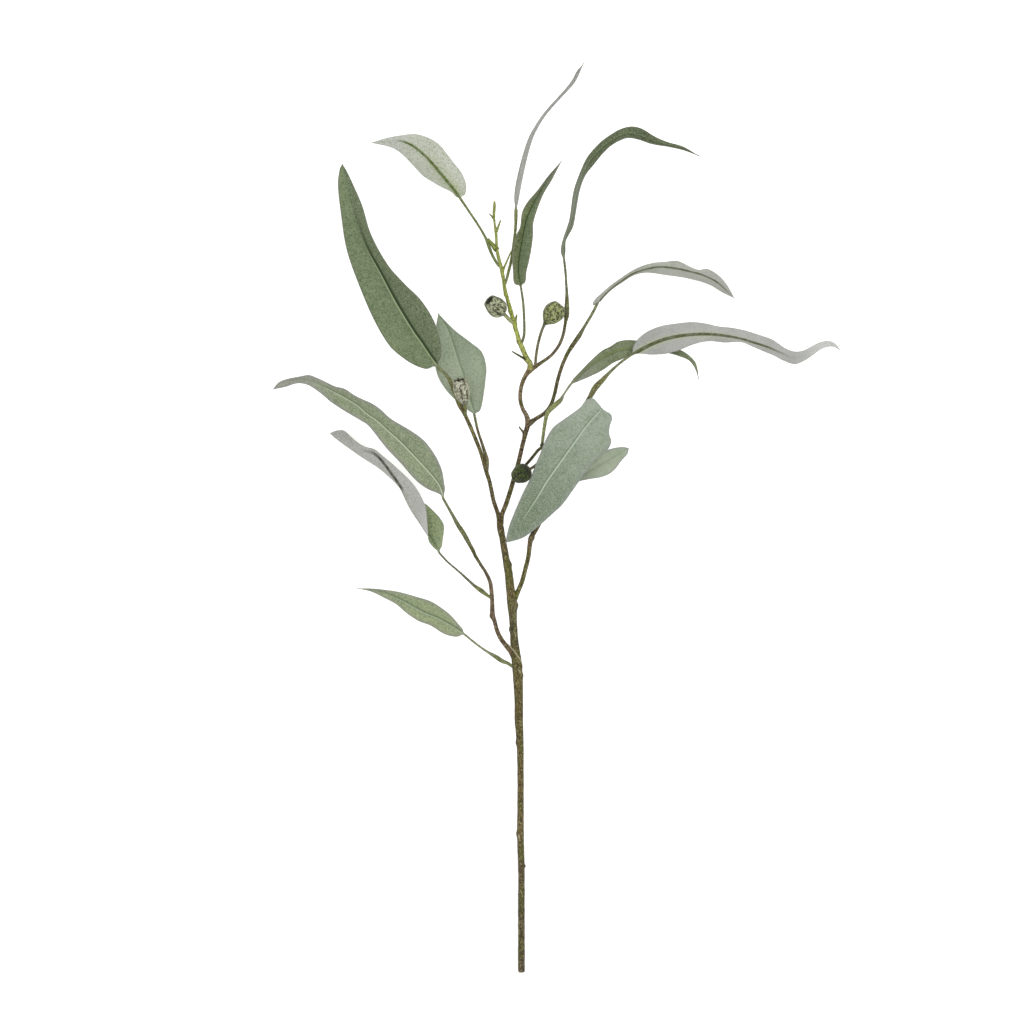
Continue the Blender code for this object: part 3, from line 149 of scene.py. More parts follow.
# Leaves: the stalk has x, y, height and radius. The rib and both edges start where the stalk ends and
# meet again at the tip.
leafShapes = {
    "leaf_upper_left": dict(
        greenUp=True,
        stalk=(
            (-86.8, 103.6, 28.6, 2.3), (-90.7, 112.8, 29.6, 2), (-95.6, 123.8, 30.6, 1.7),
            (-104, 132.4, 31, 1.6),
        ),
        rib=(
            (-112, 143.4, 30.5), (-119.3, 154.3, 30), (-126.6, 164.5, 29), (-141.2, 188.6, 26),
            (-155.8, 216.3, 20.5), (-168.2, 239.5, 13), (-177.1, 264.2, 5.5), (-183.8, 287.1, 0.35),
        ),
        left=(
            (-115.6, 131.3, 33.5), (-126.6, 135.3, 35), (-137.5, 142.6, 35.5), (-147, 151.4, 35),
            (-160.2, 173.3, 32), (-174.1, 205.4, 25), (-185, 236.5, 15.5), (-190.6, 271.2, 4),
            (-193, 295, 0.35), (-191.3, 308.6, 0.35),
        ),
        right=(
            (-101.4, 144.8, 36), (-102.6, 156.8, 39.5), (-108.3, 174, 41), (-119.3, 191.5, 39),
            (-133.9, 206.1, 35.5), (-148.5, 222.8, 29), (-163.5, 250.1, 18), (-171.4, 275.6, 6),
            (-178.5, 292.3, 0.35), (-184.9, 305.9, 0.35),
        ),
        tip=(-189, 312.6, 0.35),
    ),
    "leaf_centre_left": dict(
        greenUp=True,
        stalk=(
            (-61.4, 50.5, 23.8, 1.9), (-63.2, 57.5, 22.6, 1.6), (-66, 66.5, 22.2, 1.3),
            (-69.6, 77.5, 21.6, 1.2), (-72.4, 90.8, 21, 1.2),
        ),
        rib=(
            (-76.6, 104, 20), (-82.5, 124.9, 18), (-87.6, 139.5, 16), (-91.2, 151.2, 14),
            (-96.6, 167.4, 12),
        ),
        left=(
            (-79.9, 96.5, 21), (-88.3, 103.4, 20.5), (-96.6, 111.9, 20), (-103.6, 122.7, 19),
            (-106.9, 133.9, 18), (-108.1, 148, 16), (-106.9, 163.9, 13.5),
        ),
        right=(
            (-67.4, 95, 22), (-64.9, 104.9, 22), (-62.7, 121.6, 21), (-62, 133.1, 20), (-66, 146.3, 18),
            (-75.5, 154.6, 16), (-87.8, 163.9, 13.5), (-97.1, 172.7, 12),
        ),
        tip=(-104.4, 180.7, 10),
    ),
    "leaf_top_centre": dict(
        greenUp=True,
        stalk=(
            (-28.9, 160.3, 31, 1.2), (-28.6, 170.9, 32, 1.1), (-29.5, 188.5, 33.5, 1.1),
            (-31.5, 202.6, 34.5, 1),
        ),
        rib=(
            (-33.9, 218.4, 33.5), (-32.9, 230.5, 33), (-31.1, 241.4, 32.5), (-27.5, 259.6, 31.5),
            (-23.1, 271.2, 30.5), (-15.7, 285.3, 28.5), (-6.4, 300.3, 25),
        ),
        left=(
            (-37.5, 206.5, 36), (-38.5, 216.7, 37), (-39.2, 226.8, 37.5), (-38.4, 237.8, 37),
            (-35.9, 248.3, 36.5), (-32.4, 255.4, 35.5), (-30.6, 268.6, 33.5), (-26.2, 277.4, 32),
            (-17.4, 287.9, 30), (-6.9, 302, 25.5),
        ),
        right=(
            (-27.6, 207.9, 36), (-26.6, 216.7, 37), (-24.5, 225.5, 37.5), (-22.4, 236.3, 37.5),
            (-20.9, 248.3, 36.5), (-20.7, 258.9, 35.5), (-17, 271.7, 33), (-11.7, 284.9, 31),
            (-4.2, 297.6, 26.5),
        ),
        tip=(4.4, 314.6, 20.5),
    ),
    "leaf_top_left": dict(
        greenUp=False,
        stalk=(
            (-51.6, 222.6, 31, 1.2), (-56.6, 231, 30.6, 1.3), (-59.6, 238.6, 30.3, 1.5),
            (-62.7, 246.6, 30, 1.2), (-69.3, 258, 29, 1.1), (-76.8, 269.2, 28.5, 1.1),
            (-84.7, 280.9, 28, 1.2),
        ),
        rib=(
            (-90.7, 289.1, 28.5), (-97.2, 297.1, 28), (-104.5, 305.9, 26.5), (-111.8, 314.6, 24),
            (-119.2, 321.9, 21), (-127.9, 328.5, 17.5), (-138.9, 332.8, 13), (-151.2, 333, 7.5),
        ),
        left=(
            (-88.2, 282.2, 27), (-92.8, 286.9, 25.5), (-100.1, 290.6, 22.5), (-108.9, 295.7, 19),
            (-117.7, 301.5, 16.5), (-125.7, 309.9, 14.5), (-136.7, 321.2, 12), (-146.2, 327, 8.5),
        ),
        right=(
            (-81.7, 283, 27.5), (-79.8, 287.6, 26.8), (-79.9, 294.1, 26), (-83.9, 304.1, 24),
            (-89.9, 311.7, 23), (-96.5, 320.5, 21), (-103.8, 329.2, 18), (-113.3, 335.1, 15),
            (-125, 338.4, 12.5), (-140.3, 337, 9), (-152, 334.8, 5.5),
        ),
        tip=(-163.5, 331.1, 3),
    ),
    "leaf_top": dict(
        greenUp=True,
        stalk=(
            (-44.7, 207.9, 30, 1.2), (-42.6, 216.2, 29.3, 1.3), (-40.3, 225.5, 28.6, 1.3),
            (-38, 241.3, 28, 1.2), (-36.3, 255.4, 28, 1.3), (-35.9, 269.5, 28, 1.6),
        ),
        rib=(
            (-35.4, 280, 28), (-34.1, 291.5, 28), (-31.1, 305.5, 28.5), (-27.5, 319.6, 28.5),
            (-22.7, 334.7, 28), (-17.4, 344.9, 27), (-12.1, 353.6, 26), (-5.7, 361, 25),
            (0.2, 367.8, 24), (9, 377.3, 23), (14.6, 384.3, 21.5), (18.2, 391.2, 20.4),
        ),
        left=(
            (-37.4, 280, 31.5), (-36.5, 291.5, 35), (-33.5, 305.5, 37), (-29.8, 319.6, 37.5),
            (-24.6, 334.7, 36.5), (-19, 344.9, 34.5), (-13.3, 353.6, 32), (-7.2, 361.2, 29.5),
            (-0.7, 368.4, 27.5), (8.1, 378.3, 26), (13.8, 386.1, 24), (17.6, 393.4, 21.5),
        ),
        right=(
            (-33.6, 280, 24.5), (-31.5, 291.5, 21), (-28.6, 305.5, 19.5), (-25.3, 319.6, 19.5),
            (-20.8, 334.7, 19.5), (-15.8, 344.9, 19.5), (-10.5, 353.3, 20), (-4.6, 360.6, 20.5),
            (1.1, 367, 20.5), (9.8, 376.2, 20.5), (15.2, 382.5, 19.5), (18.7, 388.6, 19.2),
        ),
        tip=(23.8, 400.7, 19),
    ),
    "leaf_arching": dict(
        greenUp=True,
        stalk=(
            (8.7, 182.8, 26, 2.4), (8.9, 189, 26, 2), (8.8, 197.5, 26, 1.4), (8.3, 206.5, 26.2, 1.1),
            (7.7, 215.8, 26.5, 1.1), (6.7, 225, 27, 1.1),
        ),
        rib=(
            (5.6, 237.8, 28), (8.1, 249.2, 29), (12.5, 260.7, 30), (15.1, 273, 31), (17.8, 287.1, 31.5),
            (22.6, 302, 31.5), (29.2, 314.8, 30.5), (38.9, 325.8, 28.5), (48.6, 333.3, 25.5),
            (60.9, 339, 21), (73.2, 337.7, 15), (86.4, 332.8, 9.5), (99.6, 329.6, 4.2),
            (111.9, 326.5, 0.6),
        ),
        left=(
            (3.7, 232.5, 28.5), (3.9, 239.5, 30), (5.9, 247, 32), (10.7, 261.5, 34), (12.5, 273.2, 35),
            (13.9, 283.5, 36), (16.5, 293.7, 36), (24.6, 313.6, 34), (29.9, 321.6, 32),
            (38.9, 331.1, 29.5), (47.9, 337.8, 26), (56.8, 342.8, 21.5), (65.8, 344.9, 18),
            (74.8, 343.2, 14), (86.4, 336.5, 8.5), (97.2, 332, 4.2), (111.9, 327.8, 0.6),
        ),
        right=(
            (7.6, 234.3, 26), (7.9, 243.6, 26), (10.4, 248.8, 26), (14.3, 256.2, 26), (16.9, 269.5, 26),
            (20.1, 287.6, 26), (25, 301, 26.5), (32.6, 310.9, 27), (40.7, 320.8, 26.5),
            (47.7, 327.5, 25), (55.1, 332, 22.5), (62.7, 334.6, 19), (71.5, 333.5, 14.5),
            (83.8, 329.7, 9.5), (99.1, 327.4, 4), (111.9, 324.6, 0.6),
        ),
        tip=(126, 319.4, 0.35),
    ),
    "leaf_right_upper": dict(
        greenUp=False,
        baseBlend=0.02,
        stalk=(
            (15.6, 154.6, 24, 2), (19.6, 160.4, 24, 2.1), (24, 168, 24.2, 1.4), (30.6, 179, 24.3, 1.35),
            (35.8, 188.9, 24, 1.2),
        ),
        rib=(
            (42, 196.4, 24.5), (49.5, 203.5, 25), (57.8, 209.4, 25), (67.1, 215.3, 24.5),
            (77.6, 218.9, 23.5), (90.5, 221.2, 21.5), (105.7, 219.8, 18.5), (117.4, 217.3, 15),
            (128.1, 214.5, 11.5), (139.8, 209.1, 7.5), (148.5, 202.1, 4),
        ),
        left=(
            (33, 187, 23.6), (31.4, 188.4, 23.4), (33.6, 192.6, 23.4), (38.4, 197.2, 23.5),
            (47.3, 204.9, 24), (56.3, 211.4, 24), (65.3, 217.3, 23), (74.3, 221.8, 21.5),
            (85.1, 224.8, 20), (96.7, 225.9, 18), (106.2, 226.6, 16.5), (116.5, 222.1, 14),
            (124.7, 218.9, 12), (132.7, 219.8, 8.5), (139.8, 216.3, 6.5), (147, 210, 4),
            (153.3, 201, 1.8),
        ),
        right=(
            (38.5, 190.7, 24), (41.5, 194.6, 24), (48.1, 201, 24), (56.9, 207, 24), (65.3, 212.3, 23),
            (72.5, 215.1, 22), (81.1, 216, 20), (96.7, 214, 16.5), (110.2, 212.3, 13.5),
            (119.2, 210.4, 11), (128.1, 208.2, 8.5), (137.2, 204.6, 6), (146.2, 199.2, 3),
        ),
        tip=(156.5, 194.3, 1.2),
    ),
    "leaf_right_large": dict(
        greenUp=False,
        stalk=(
            (29, 106.2, 30.3, 2.1), (33.9, 114.8, 30.8, 2.7), (40, 121.3, 31.2, 2.2),
            (46.4, 128.2, 31.8, 1.4), (55.4, 136.3, 32.4, 1.1), (64.4, 142.9, 33, 1.1),
        ),
        rib=(
            (70.7, 146.3, 33.5), (78.8, 150.7, 34), (87.7, 154.8, 34), (97.9, 158.2, 33.5),
            (111.9, 160.8, 32), (128.1, 161.9, 29.5), (142.7, 161.2, 27), (161.2, 158.1, 22),
            (172.9, 154.8, 19), (185.9, 150.7, 15.5), (199.9, 144.9, 11.5), (211.4, 141.5, 8),
            (220.2, 144.7, 6.5), (228.1, 150, 5), (236.9, 153.9, 3), (243.9, 153, 1.8),
        ),
        left=(
            (66.2, 149.3, 31), (72.5, 158.8, 29), (81.5, 165.1, 27.5), (92.2, 169.1, 26.5),
            (105.7, 171.3, 26), (119.2, 172.5, 25.5), (130.9, 171.3, 25), (141.7, 168.9, 23.5),
            (155, 167.5, 20.5), (166.6, 165.1, 18), (180, 161, 14.5), (189.8, 157.5, 12),
            (202.5, 149.3, 9.5), (210.6, 146.9, 8.5), (217.8, 148, 7), (224.9, 151.6, 5.5),
            (232.1, 155.2, 4), (240.2, 156.4, 2.5), (245.7, 154, 1.6),
        ),
        right=(
            (72.5, 144.5, 33), (83.2, 143.8, 31), (96.7, 144.8, 30), (108.4, 148, 30),
            (118.1, 152.1, 30), (128.1, 154.9, 29), (136.6, 155.6, 27.5), (147.1, 154.5, 25),
            (162.1, 154.9, 21.5), (171.1, 151.6, 18), (181.9, 147.1, 14), (191.8, 143.1, 10.5),
            (199.8, 139, 7.5), (209.7, 135.9, 5), (216.9, 138.2, 5), (224.9, 143.1, 5),
            (232.1, 148.5, 4), (237.8, 150.9, 3), (243.9, 151.4, 1.6),
        ),
        tip=(250.5, 148, 1.2),
    ),
    "leaf_right_back": dict(
        greenUp=True,
        stalk=(
            (-12.7, 66.9, 30, 1.3), (-10.8, 81.1, 32, 1.5), (-8.1, 92.6, 33.5, 1.9),
            (-1.6, 99.4, 34, 2.3), (3.4, 104, 34, 1.9), (5.9, 108.6, 34, 1), (11.6, 117, 33.5, 1),
        ),
        rib=(
            (18.7, 124.7, 32), (25.8, 131.8, 30), (36.6, 139.9, 27.5), (47.7, 145.7, 25),
            (58.7, 149.1, 23), (71.5, 149.2, 21), (86.4, 149.2, 18.5), (100.5, 147.3, 16.5),
            (113.3, 142.7, 14), (120.8, 136.4, 12.2), (123.4, 130.7, 10.9),
        ),
        left=(
            (12.9, 120.7, 33.5), (20.4, 128.8, 33), (29.4, 138.2, 31), (40.1, 147.6, 28.5),
            (47.3, 151.2, 27), (53.4, 155.2, 25.5), (60.9, 156.8, 24), (71.5, 156.3, 22),
            (86.4, 154.6, 20), (98.7, 152, 18), (109.3, 148, 16), (115.9, 144, 14.5),
            (121.9, 137.9, 12.5), (124.2, 131, 10.8),
        ),
        right=(
            (19.5, 120.5, 33), (29.4, 124.7, 31), (40.1, 130.1, 28.5), (49.9, 136.8, 26),
            (59, 140.6, 24), (66, 144.8, 22.8), (74, 147, 21.6), (86.4, 146.6, 19.5),
            (98.6, 145.2, 17.5), (107.5, 142.7, 15.5), (115.4, 139.6, 13.5), (119.7, 135.4, 12),
            (122.4, 130.5, 11),
        ),
        tip=(125, 122.8, 9),
    ),
    "leaf_front": dict(
        greenUp=True,
        baseBlend=0.012,
        stalk=(
            (23.4, 93.6, 31.4, 1.3), (28, 91.6, 33, 1.2), (33, 91.4, 35.8, 0.9),
            (36.6, 93.6, 38.6, 0.8), (38.7, 95.2, 40.2, 0.6), (39.8, 96.1, 41.2, 0.45),
            (40.1, 96.3, 42.2, 0.4),
        ),
        rib=(
            (32.1, 87.9, 43), (23.8, 77.9, 43), (15.3, 66.1, 42), (6.9, 54.3, 41), (-1.5, 42.5, 40),
            (-9.2, 31.5, 39), (-16.7, 18.9, 37.5), (-25.1, 6.2, 35.5), (-34.1, -7.7, 33.5),
        ),
        left=(
            (43.2, 93.9, 42), (47.3, 91.4, 43), (48.4, 87, 44), (46.5, 81, 44.5), (45.9, 74.1, 45),
            (47.7, 67.1, 45), (44.2, 59.8, 44.5), (33.8, 51.6, 43.5), (25.4, 40.8, 42.5),
            (17, 29, 41.5), (4.3, 11.4, 39.5), (-4, 3.8, 38.5), (-13.3, -4.7, 36.5),
            (-22.6, -12.4, 34.5), (-31.5, -17.9, 33),
        ),
        right=(
            (36.4, 100.8, 41.6), (31.2, 105.4, 41.6), (25.3, 103.6, 42.5), (21.2, 98, 44),
            (13.6, 92.1, 45), (5.2, 86.2, 45.5), (-3.3, 79.6, 45.5), (-9.9, 68.8, 44.5),
            (-15, 56, 43.5), (-19.2, 45.8, 42), (-23.4, 34.9, 41), (-30.6, 20.4, 38.5),
            (-37.8, 3.8, 35.5), (-42, -7.2, 33.5),
        ),
        tip=(-45.3, -21.6, 31),
    ),
    "leaf_front_back": dict(
        greenUp=True,
        stalk=(
            (0.4, 29.4, 26.6, 1.4), (4.1, 29.2, 27.3, 1.3), (8.1, 30.1, 28, 1.2),
        ),
        rib=(
            (17.8, 35.8, 29), (30.1, 42.9, 29.6), (43.3, 50.8, 29.8), (53.9, 57.2, 29),
        ),
        left=(
            (11.2, 34.9, 29.5), (22.2, 45.9, 31), (35.4, 56.5, 31.5), (49.5, 61.6, 31),
            (58.3, 62.7, 29.6),
        ),
        right=(
            (13.8, 30.8, 29.5), (21.3, 32.9, 30.5), (29.7, 34.5, 31), (38.9, 36.1, 31),
            (46.4, 39.1, 31), (51.7, 43.7, 30.6), (57, 50.7, 29.8), (62, 56.3, 28.8),
        ),
        tip=(63.5, 61.8, 28),
    ),
    "leaf_left_long": dict(
        greenUp=True,
        stalk=(
            (-76, -24.3, 18, 1.7), (-82.1, -13.2, 18.2, 2.2), (-86.8, -6.1, 18.6, 1.9),
            (-91.7, 2.8, 19.2, 1.4), (-99.8, 17.1, 20, 1.1),
        ),
        rib=(
            (-101.6, 24.8, 21), (-105.2, 31.7, 22), (-114.2, 42.4, 24), (-127.7, 56.8, 26),
            (-140, 69.2, 27), (-149.1, 77.3, 27), (-158, 85.4, 26.5), (-167, 91.7, 25),
            (-176, 99.4, 23), (-187.3, 106.2, 20.5), (-204, 114.8, 15.5), (-220.7, 121.6, 10),
            (-235.7, 120.5, 5.5),
        ),
        left=(
            (-106.1, 22.5, 21.5), (-111.5, 24.6, 22.5), (-118.7, 29, 24.5), (-125.8, 35.2, 26),
            (-136.7, 47.8, 28), (-150.1, 62.1, 29.5), (-163.1, 78.5, 29), (-167, 82.5, 28.5),
            (-176, 88, 26.5), (-186.7, 94.3, 24), (-198.4, 102, 19.5), (-207.4, 109.6, 15.5),
            (-216.4, 115.9, 12), (-222.6, 118.4, 10), (-229.9, 118.7, 7.5), (-238.8, 115.9, 4.5),
        ),
        right=(
            (-98.2, 23.6, 21.5), (-99.3, 32.6, 24), (-100.8, 41.5, 26), (-105.2, 52.3, 28),
            (-111.5, 62.1, 29.5), (-117.7, 69.3, 30), (-127.7, 76.6, 31), (-135.5, 81.3, 31),
            (-145.9, 87.6, 31), (-155.3, 96.1, 30), (-162.5, 101, 29), (-170.5, 104.6, 27.5),
            (-177.8, 108.2, 25.5), (-186.7, 114, 23), (-195.7, 116.3, 20), (-202.9, 119.9, 18),
            (-211.9, 124, 15), (-218.2, 126.2, 13), (-227.1, 124.9, 9.5), (-237.1, 123, 6),
            (-245.1, 119.9, 3),
        ),
        tip=(-250.5, 113.6, 1.5),
    ),
    "leaf_left_twisted": dict(
        greenUp=True,
        stalk=(
            (-61, -67.9, 17.6, 1.4), (-66.4, -63.8, 17, 2.1), (-72.6, -59.3, 16.4, 1.4),
            (-84.6, -48.3, 15.6, 1), (-92.7, -41.4, 15.2, 0.9), (-97.1, -37.5, 15, 0.9),
            (-103.1, -30.8, 15, 1),
        ),
        rib=(
            (-108.5, -21.8, 15), (-113, -15.2, 14.5), (-120.4, -4.4, 14), (-127.4, 6.5, 15),
            (-133.6, 18.2, 16.5), (-138.2, 27.9, 18), (-146.3, 39.5, 19), (-153.6, 49.5, 18),
            (-161.1, 56.9, 16), (-172.3, 60.5, 12.5), (-184.6, 68.8, 7), (-192.5, 73.7, 4),
        ),
        left=(
            (-108.1, -26.2, 18), (-112.6, -20.1, 23), (-113.3, -12.1, 26.5), (-114.2, 1.1, 27),
            (-115.1, 9.2, 26.5), (-117.3, 14.7, 26), (-122.1, 24.3, 24), (-128.4, 32.4, 22.5),
            (-135.5, 39.5, 21), (-144.5, 47.6, 19.5), (-153.6, 55.3, 17.5), (-160.7, 60.9, 15),
            (-168.8, 63.1, 12.5), (-176, 67.4, 10), (-182.2, 72.8, 7.5), (-187.6, 77.3, 5),
            (-194, 77.4, 3),
        ),
        right=(
            (-101.2, -26.2, 16), (-100.4, -19.5, 17), (-99.3, -11.4, 17.5), (-99.4, -6, 17.5),
            (-102.5, -0.1, 17), (-108.8, 6.7, 16), (-116, 12.9, 14), (-127.4, 16.9, 10.5),
            (-135.5, 23.2, 10.5), (-140, 28.6, 11.5), (-149.1, 37.6, 13), (-158, 44.8, 12.5),
            (-171.5, 53.5, 9.5), (-185, 62.9, 5), (-195.7, 70.9, 2),
        ),
        tip=(-200.2, 75, 1.5),
    ),
    "leaf_left_low": dict(
        greenUp=True,
        stalk=(
            (-43.4, -127.6, 14.2, 1.5), (-47.6, -126, 13.6, 1.9), (-54.4, -121.6, 12.6, 1.8),
            (-61.5, -117.4, 12, 1.1), (-70.8, -110.8, 11.2, 1), (-81.1, -102.4, 10.5, 1),
        ),
        rib=(
            (-93.1, -94.8, 11), (-106.2, -87.7, 11), (-116.3, -83.7, 10.5), (-136.5, -72.9, 8),
            (-150.3, -66.7, 5), (-163.5, -63.2, 2.5),
        ),
        left=(
            (-87.8, -104.4, 11), (-95.1, -103.4, 12.5), (-101.2, -100.8, 13), (-111.2, -94.5, 13),
            (-121.4, -90.7, 12), (-131.5, -84.2, 10), (-141.6, -75.8, 7.5), (-151.7, -70.4, 5),
            (-163.8, -64.7, 2.3),
        ),
        right=(
            (-82.3, -98.4, 11.5), (-86, -93.8, 12.5), (-93.1, -85.7, 13), (-101.2, -79.1, 13.5),
            (-111.2, -73, 13.5), (-125.4, -68.6, 12), (-138.5, -65, 9.5), (-151.7, -63, 6),
            (-165.8, -61.8, 2.5),
        ),
        tip=(-175.9, -62, 1),
    ),
}

# Gumnuts: the stalk's points, the capsule's base and the middle of its mouth
gumnutPoints = {
    "gumnut_left": (
        (-80.2, 91.6, 29.6), (-80.2, 96, 31.6), (-80.8, 100.4, 33.4), (-85.2, 120.7, 39.5),
    ),
    "gumnut_top": (
        (-40.8, 173.6, 31.8), (-43.6, 176.5, 32.6), (-46.6, 179.4, 33.3), (-59.6, 191.3, 40.6),
    ),
    "gumnut_right": (
        (-18.7, 137.1, 31.6), (-18.3, 142.7, 32.6), (-16.2, 154.5, 34), (-13.4, 164.4, 35),
        (-10.9, 170.4, 35.4), (2.9, 187.4, 38),
    ),
    "gumnut_centre": (
        (-13.2, 64.6, 30.2), (-12.2, 57.8, 32.6), (-14.6, 50.6, 37), (-20, 45.4, 41.2),
        (-24.8, 42.6, 43.5), (-36.2, 36.2, 34.5),
    ),
}

# Knots where leaves grew: branch, share of its length, angle (0 right, 90 up), length, width and height
woodKnots = (
    ("main", 0.2345, 5, 2.6, 1.8, 1.2),
    ("main", 0.306, 170, 5.6, 3.2, 1.02),
    ("main", 0.507, 185, 5.6, 3.2, 1.02),
    ("main", 0.655, 15, 4.6, 3.0, 0.96),
    ("main", 0.757, 175, 4.6, 3.2, 1.02),
    ("main", 0.81, 0, 5.4, 3.6, 1.15),
    ("main", 0.9, 5, 4.2, 2.8, 0.9),
    ("left_branch", 0.42, 180, 4.0, 2.6, 0.83),
    ("right_branch", 0.3, 0, 4.4, 3.0, 0.96),
    ("right_twig", 0.4, 175, 4.6, 2.2, 0.7),
    ("right_twig", 0.45, 20, 4.6, 3.0, 0.96),
    ("right_twig", 0.68, 140, 4.6, 3.2, 1.02),
)
limeKnots = (
    (0.07, 180, 5.6, 2.2, 0.84),
    (0.18, 200, 4.4, 2.4, 0.91),
    (0.29, 0, 5.4, 2.0, 0.76),
    (0.36, 150, 3.8, 2.2, 0.84),
    (0.46, 190, 3.6, 2.0, 0.76),
    (0.6, 10, 3.4, 1.9, 0.72),
    (0.63, 170, 3.4, 1.8, 0.68),
    (0.73, 185, 3.2, 1.6, 0.61),
    (0.83, 10, 6.0, 1.7, 0.65),
    (0.9, 170, 4.4, 1.6, 0.61),
)

# Spurs: root, tip and radius
woodSpurs = (
    ((-28.0, 73.6, 26.4), (-33.2, 80.4, 28.6), 1.1),
)
limeSpurs = (
    ((-26.6, 139.2, 30.0), (-39.4, 146.6, 33.4), 1.1),
    ((-37.2, 169.4, 30.8), (-35.2, 178.8, 32.6), 1.4),
    ((-47.6, 217.6, 31.0), (-40.2, 234.4, 34.6), 1.0),
    ((-53.2, 251.6, 29.9), (-49.4, 261.8, 31.2), 1.1),
    ((-55.0, 263.2, 29.3), (-59.4, 267.6, 30.2), 1.0),
    ((-52.6, 235.6, 30.4), (-60.6, 245.4, 30.9), 2.2),
)
# Pale strips where the bark has torn: points with the half width
tornStrips = (
    (
        (-43.2, -110.6, 18.0, 0.4), (-41.0, -113.0, 18.1, 0.6), (-37.5, -116.9, 19.4, 0.7),
        (-34.6, -121.0, 19.2, 0.7), (-32.2, -124.8, 17.6, 0.75), (-30.7, -129.2, 15.6, 0.7),
        (-30.6, -133.8, 15.0, 0.4),
    ),
    ((-34.6, -132.6, 18.9, 0.5), (-33.0, -134.4, 18.4, 0.8), (-31.8, -137.2, 17.2, 0.5)),
    ((-33.6, -278.0, 8.6, 0.4), (-33.0, -280.4, 8.6, 0.8), (-32.6, -282.6, 8.6, 0.4)),
)


def unit(vector):
    return vector / np.linalg.norm(vector)


def squaredOff(vector, direction):
    return unit(vector - direction * np.dot(vector, direction))


def smoothStep(low, high, value):
    t = np.clip((value - low) / (high - low), 0.0, 1.0)
    return t * t * (3 - 2 * t)


# Places at shares of the length of a smooth curve through points, and its heading there
def along(points, shares):
    points = np.array(points, float)
    ends = np.vstack([2 * points[0] - points[1], points, 2 * points[-1] - points[-2]])
    t = np.linspace(0, 1, curveSteps, endpoint=False)[:, None]
    pieces = []
    for a, b, c, d in zip(ends, ends[1:], ends[2:], ends[3:]):
        before, here, after = (np.linalg.norm((q - p)[:3]) for p, q in ((a, b), (b, c), (c, d)))
        leaving = (c - a) * here / (before + here)
        arriving = (d - b) * here / (here + after)
        ease = t * t * (3 - 2 * t)
        pieces.append(b + ease * (c - b) + t * (1 - t) ** 2 * leaving - t * t * (1 - t) * arriving)
    fine = np.vstack([*pieces, points[-1:]])
    lengths = np.linalg.norm(np.diff(fine[:, :3], axis=0), axis=1)
    walked = np.concatenate([[0], np.cumsum(lengths)])
    heading = np.diff(fine[:, :3], axis=0) / lengths[:, None]
    halfway = (walked[1:] + walked[:-1]) / 2
    wanted = np.array(shares) * walked[-1]
    places = np.column_stack([np.interp(wanted, walked, column) for column in fine.T])
    headings = np.column_stack([np.interp(wanted, halfway, column) for column in heading.T])
    return places, np.array([unit(h) for h in headings]), walked[-1]


# Directions to the side and up at each place of a path, carried along it without twist
def carriedSides(headings, side):
    sides, ups = [], []
    for heading in headings:
        side = squaredOff(side, heading)
        sides.append(side)
        ups.append(np.cross(heading, side))
    return np.array(sides), np.array(ups)


# The rings of one skin, in mm, and by name the values that each ring's points carry for the materials
class Rings:
    def __init__(self, names):
        self.places = []
        self.values = {name: [] for name in names}

    def add(self, ring, *ringValues):
        self.places.append(ring)
        for kept, given in zip(self.values.values(), ringValues):
            kept.append(given)


# Joins the rings into one closed skin with a cap at each end
def skin(body, rings, layers):
    places = np.array(rings.places, float)
    rows, sides = places.shape[:2]
    made = bmesh.ops.create_grid(body, x_segments=sides, y_segments=rows - 1, size=1)["verts"]
    body.verts.index_update()
    made = sorted(made, key=lambda v: v.index)
    for number, vertex in enumerate(made):
        row, side = divmod(number, sides + 1)
        vertex.co = places[row, side % sides] * mm
        for name, layer in layers.items():
            found = rings.values[name][row][side % sides]
            vertex[layer] = Vector(found) if np.ndim(found) else float(found)
    bmesh.ops.remove_doubles(body, verts=made, dist=1e-7)
    openEdges = [edge for edge in body.edges if edge.is_boundary]
    caps = bmesh.ops.holes_fill(body, edges=openEdges, sides=0)["faces"]
    bmesh.ops.triangulate(body, faces=caps)


def finishedPiece(body, material, node):
    bmesh.ops.recalc_face_normals(body, faces=body.faces)
    if body.calc_volume(signed=True) < 0:
        bmesh.ops.reverse_faces(body, faces=body.faces)
    mesh = bpy.data.meshes.new(node + "_look")
    body.to_mesh(mesh)
    body.free()
    mesh.shade_smooth()
    mesh.materials.append(material)
    made = bpy.data.objects.new(node + "_look", mesh)
    bpy.context.scene.collection.objects.link(made)
    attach(made, "root")
    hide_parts(node)


# An empty mesh with a layer for each value of its points, of three numbers each for those in vectors
def newBody(numbers, vectors=()):
    body = bmesh.new()
    layers = {name: body.verts.layers.float_vector.new(name) for name in vectors}
    layers |= {name: body.verts.layers.float.new(name) for name in numbers}
    return body, layers


# One output of a material node. + - * / and ** on it add the maths nodes, so that a sum reads as one.
class Value:
    def __init__(self, tree, socket):
        self.tree = tree
        self.socket = socket

    def maths(self, operation, *others):
        return addNode(self.tree, "ShaderNodeMath", {"operation": operation}, dict(enumerate(others)))

    def __add__(self, other):
        return self.maths("ADD", self, other)

    def __radd__(self, other):
        return self.maths("ADD", other, self)

    def __sub__(self, other):
        return self.maths("SUBTRACT", self, other)

    def __rsub__(self, other):
        return self.maths("SUBTRACT", other, self)

    def __mul__(self, other):
        return self.maths("MULTIPLY", self, other)

    def __rmul__(self, other):
        return self.maths("MULTIPLY", other, self)

    def __truediv__(self, other):
        return self.maths("DIVIDE", self, other)

    def __pow__(self, other):
        return self.maths("POWER", self, other)

    def __abs__(self):
        return self.maths("ABSOLUTE", self)


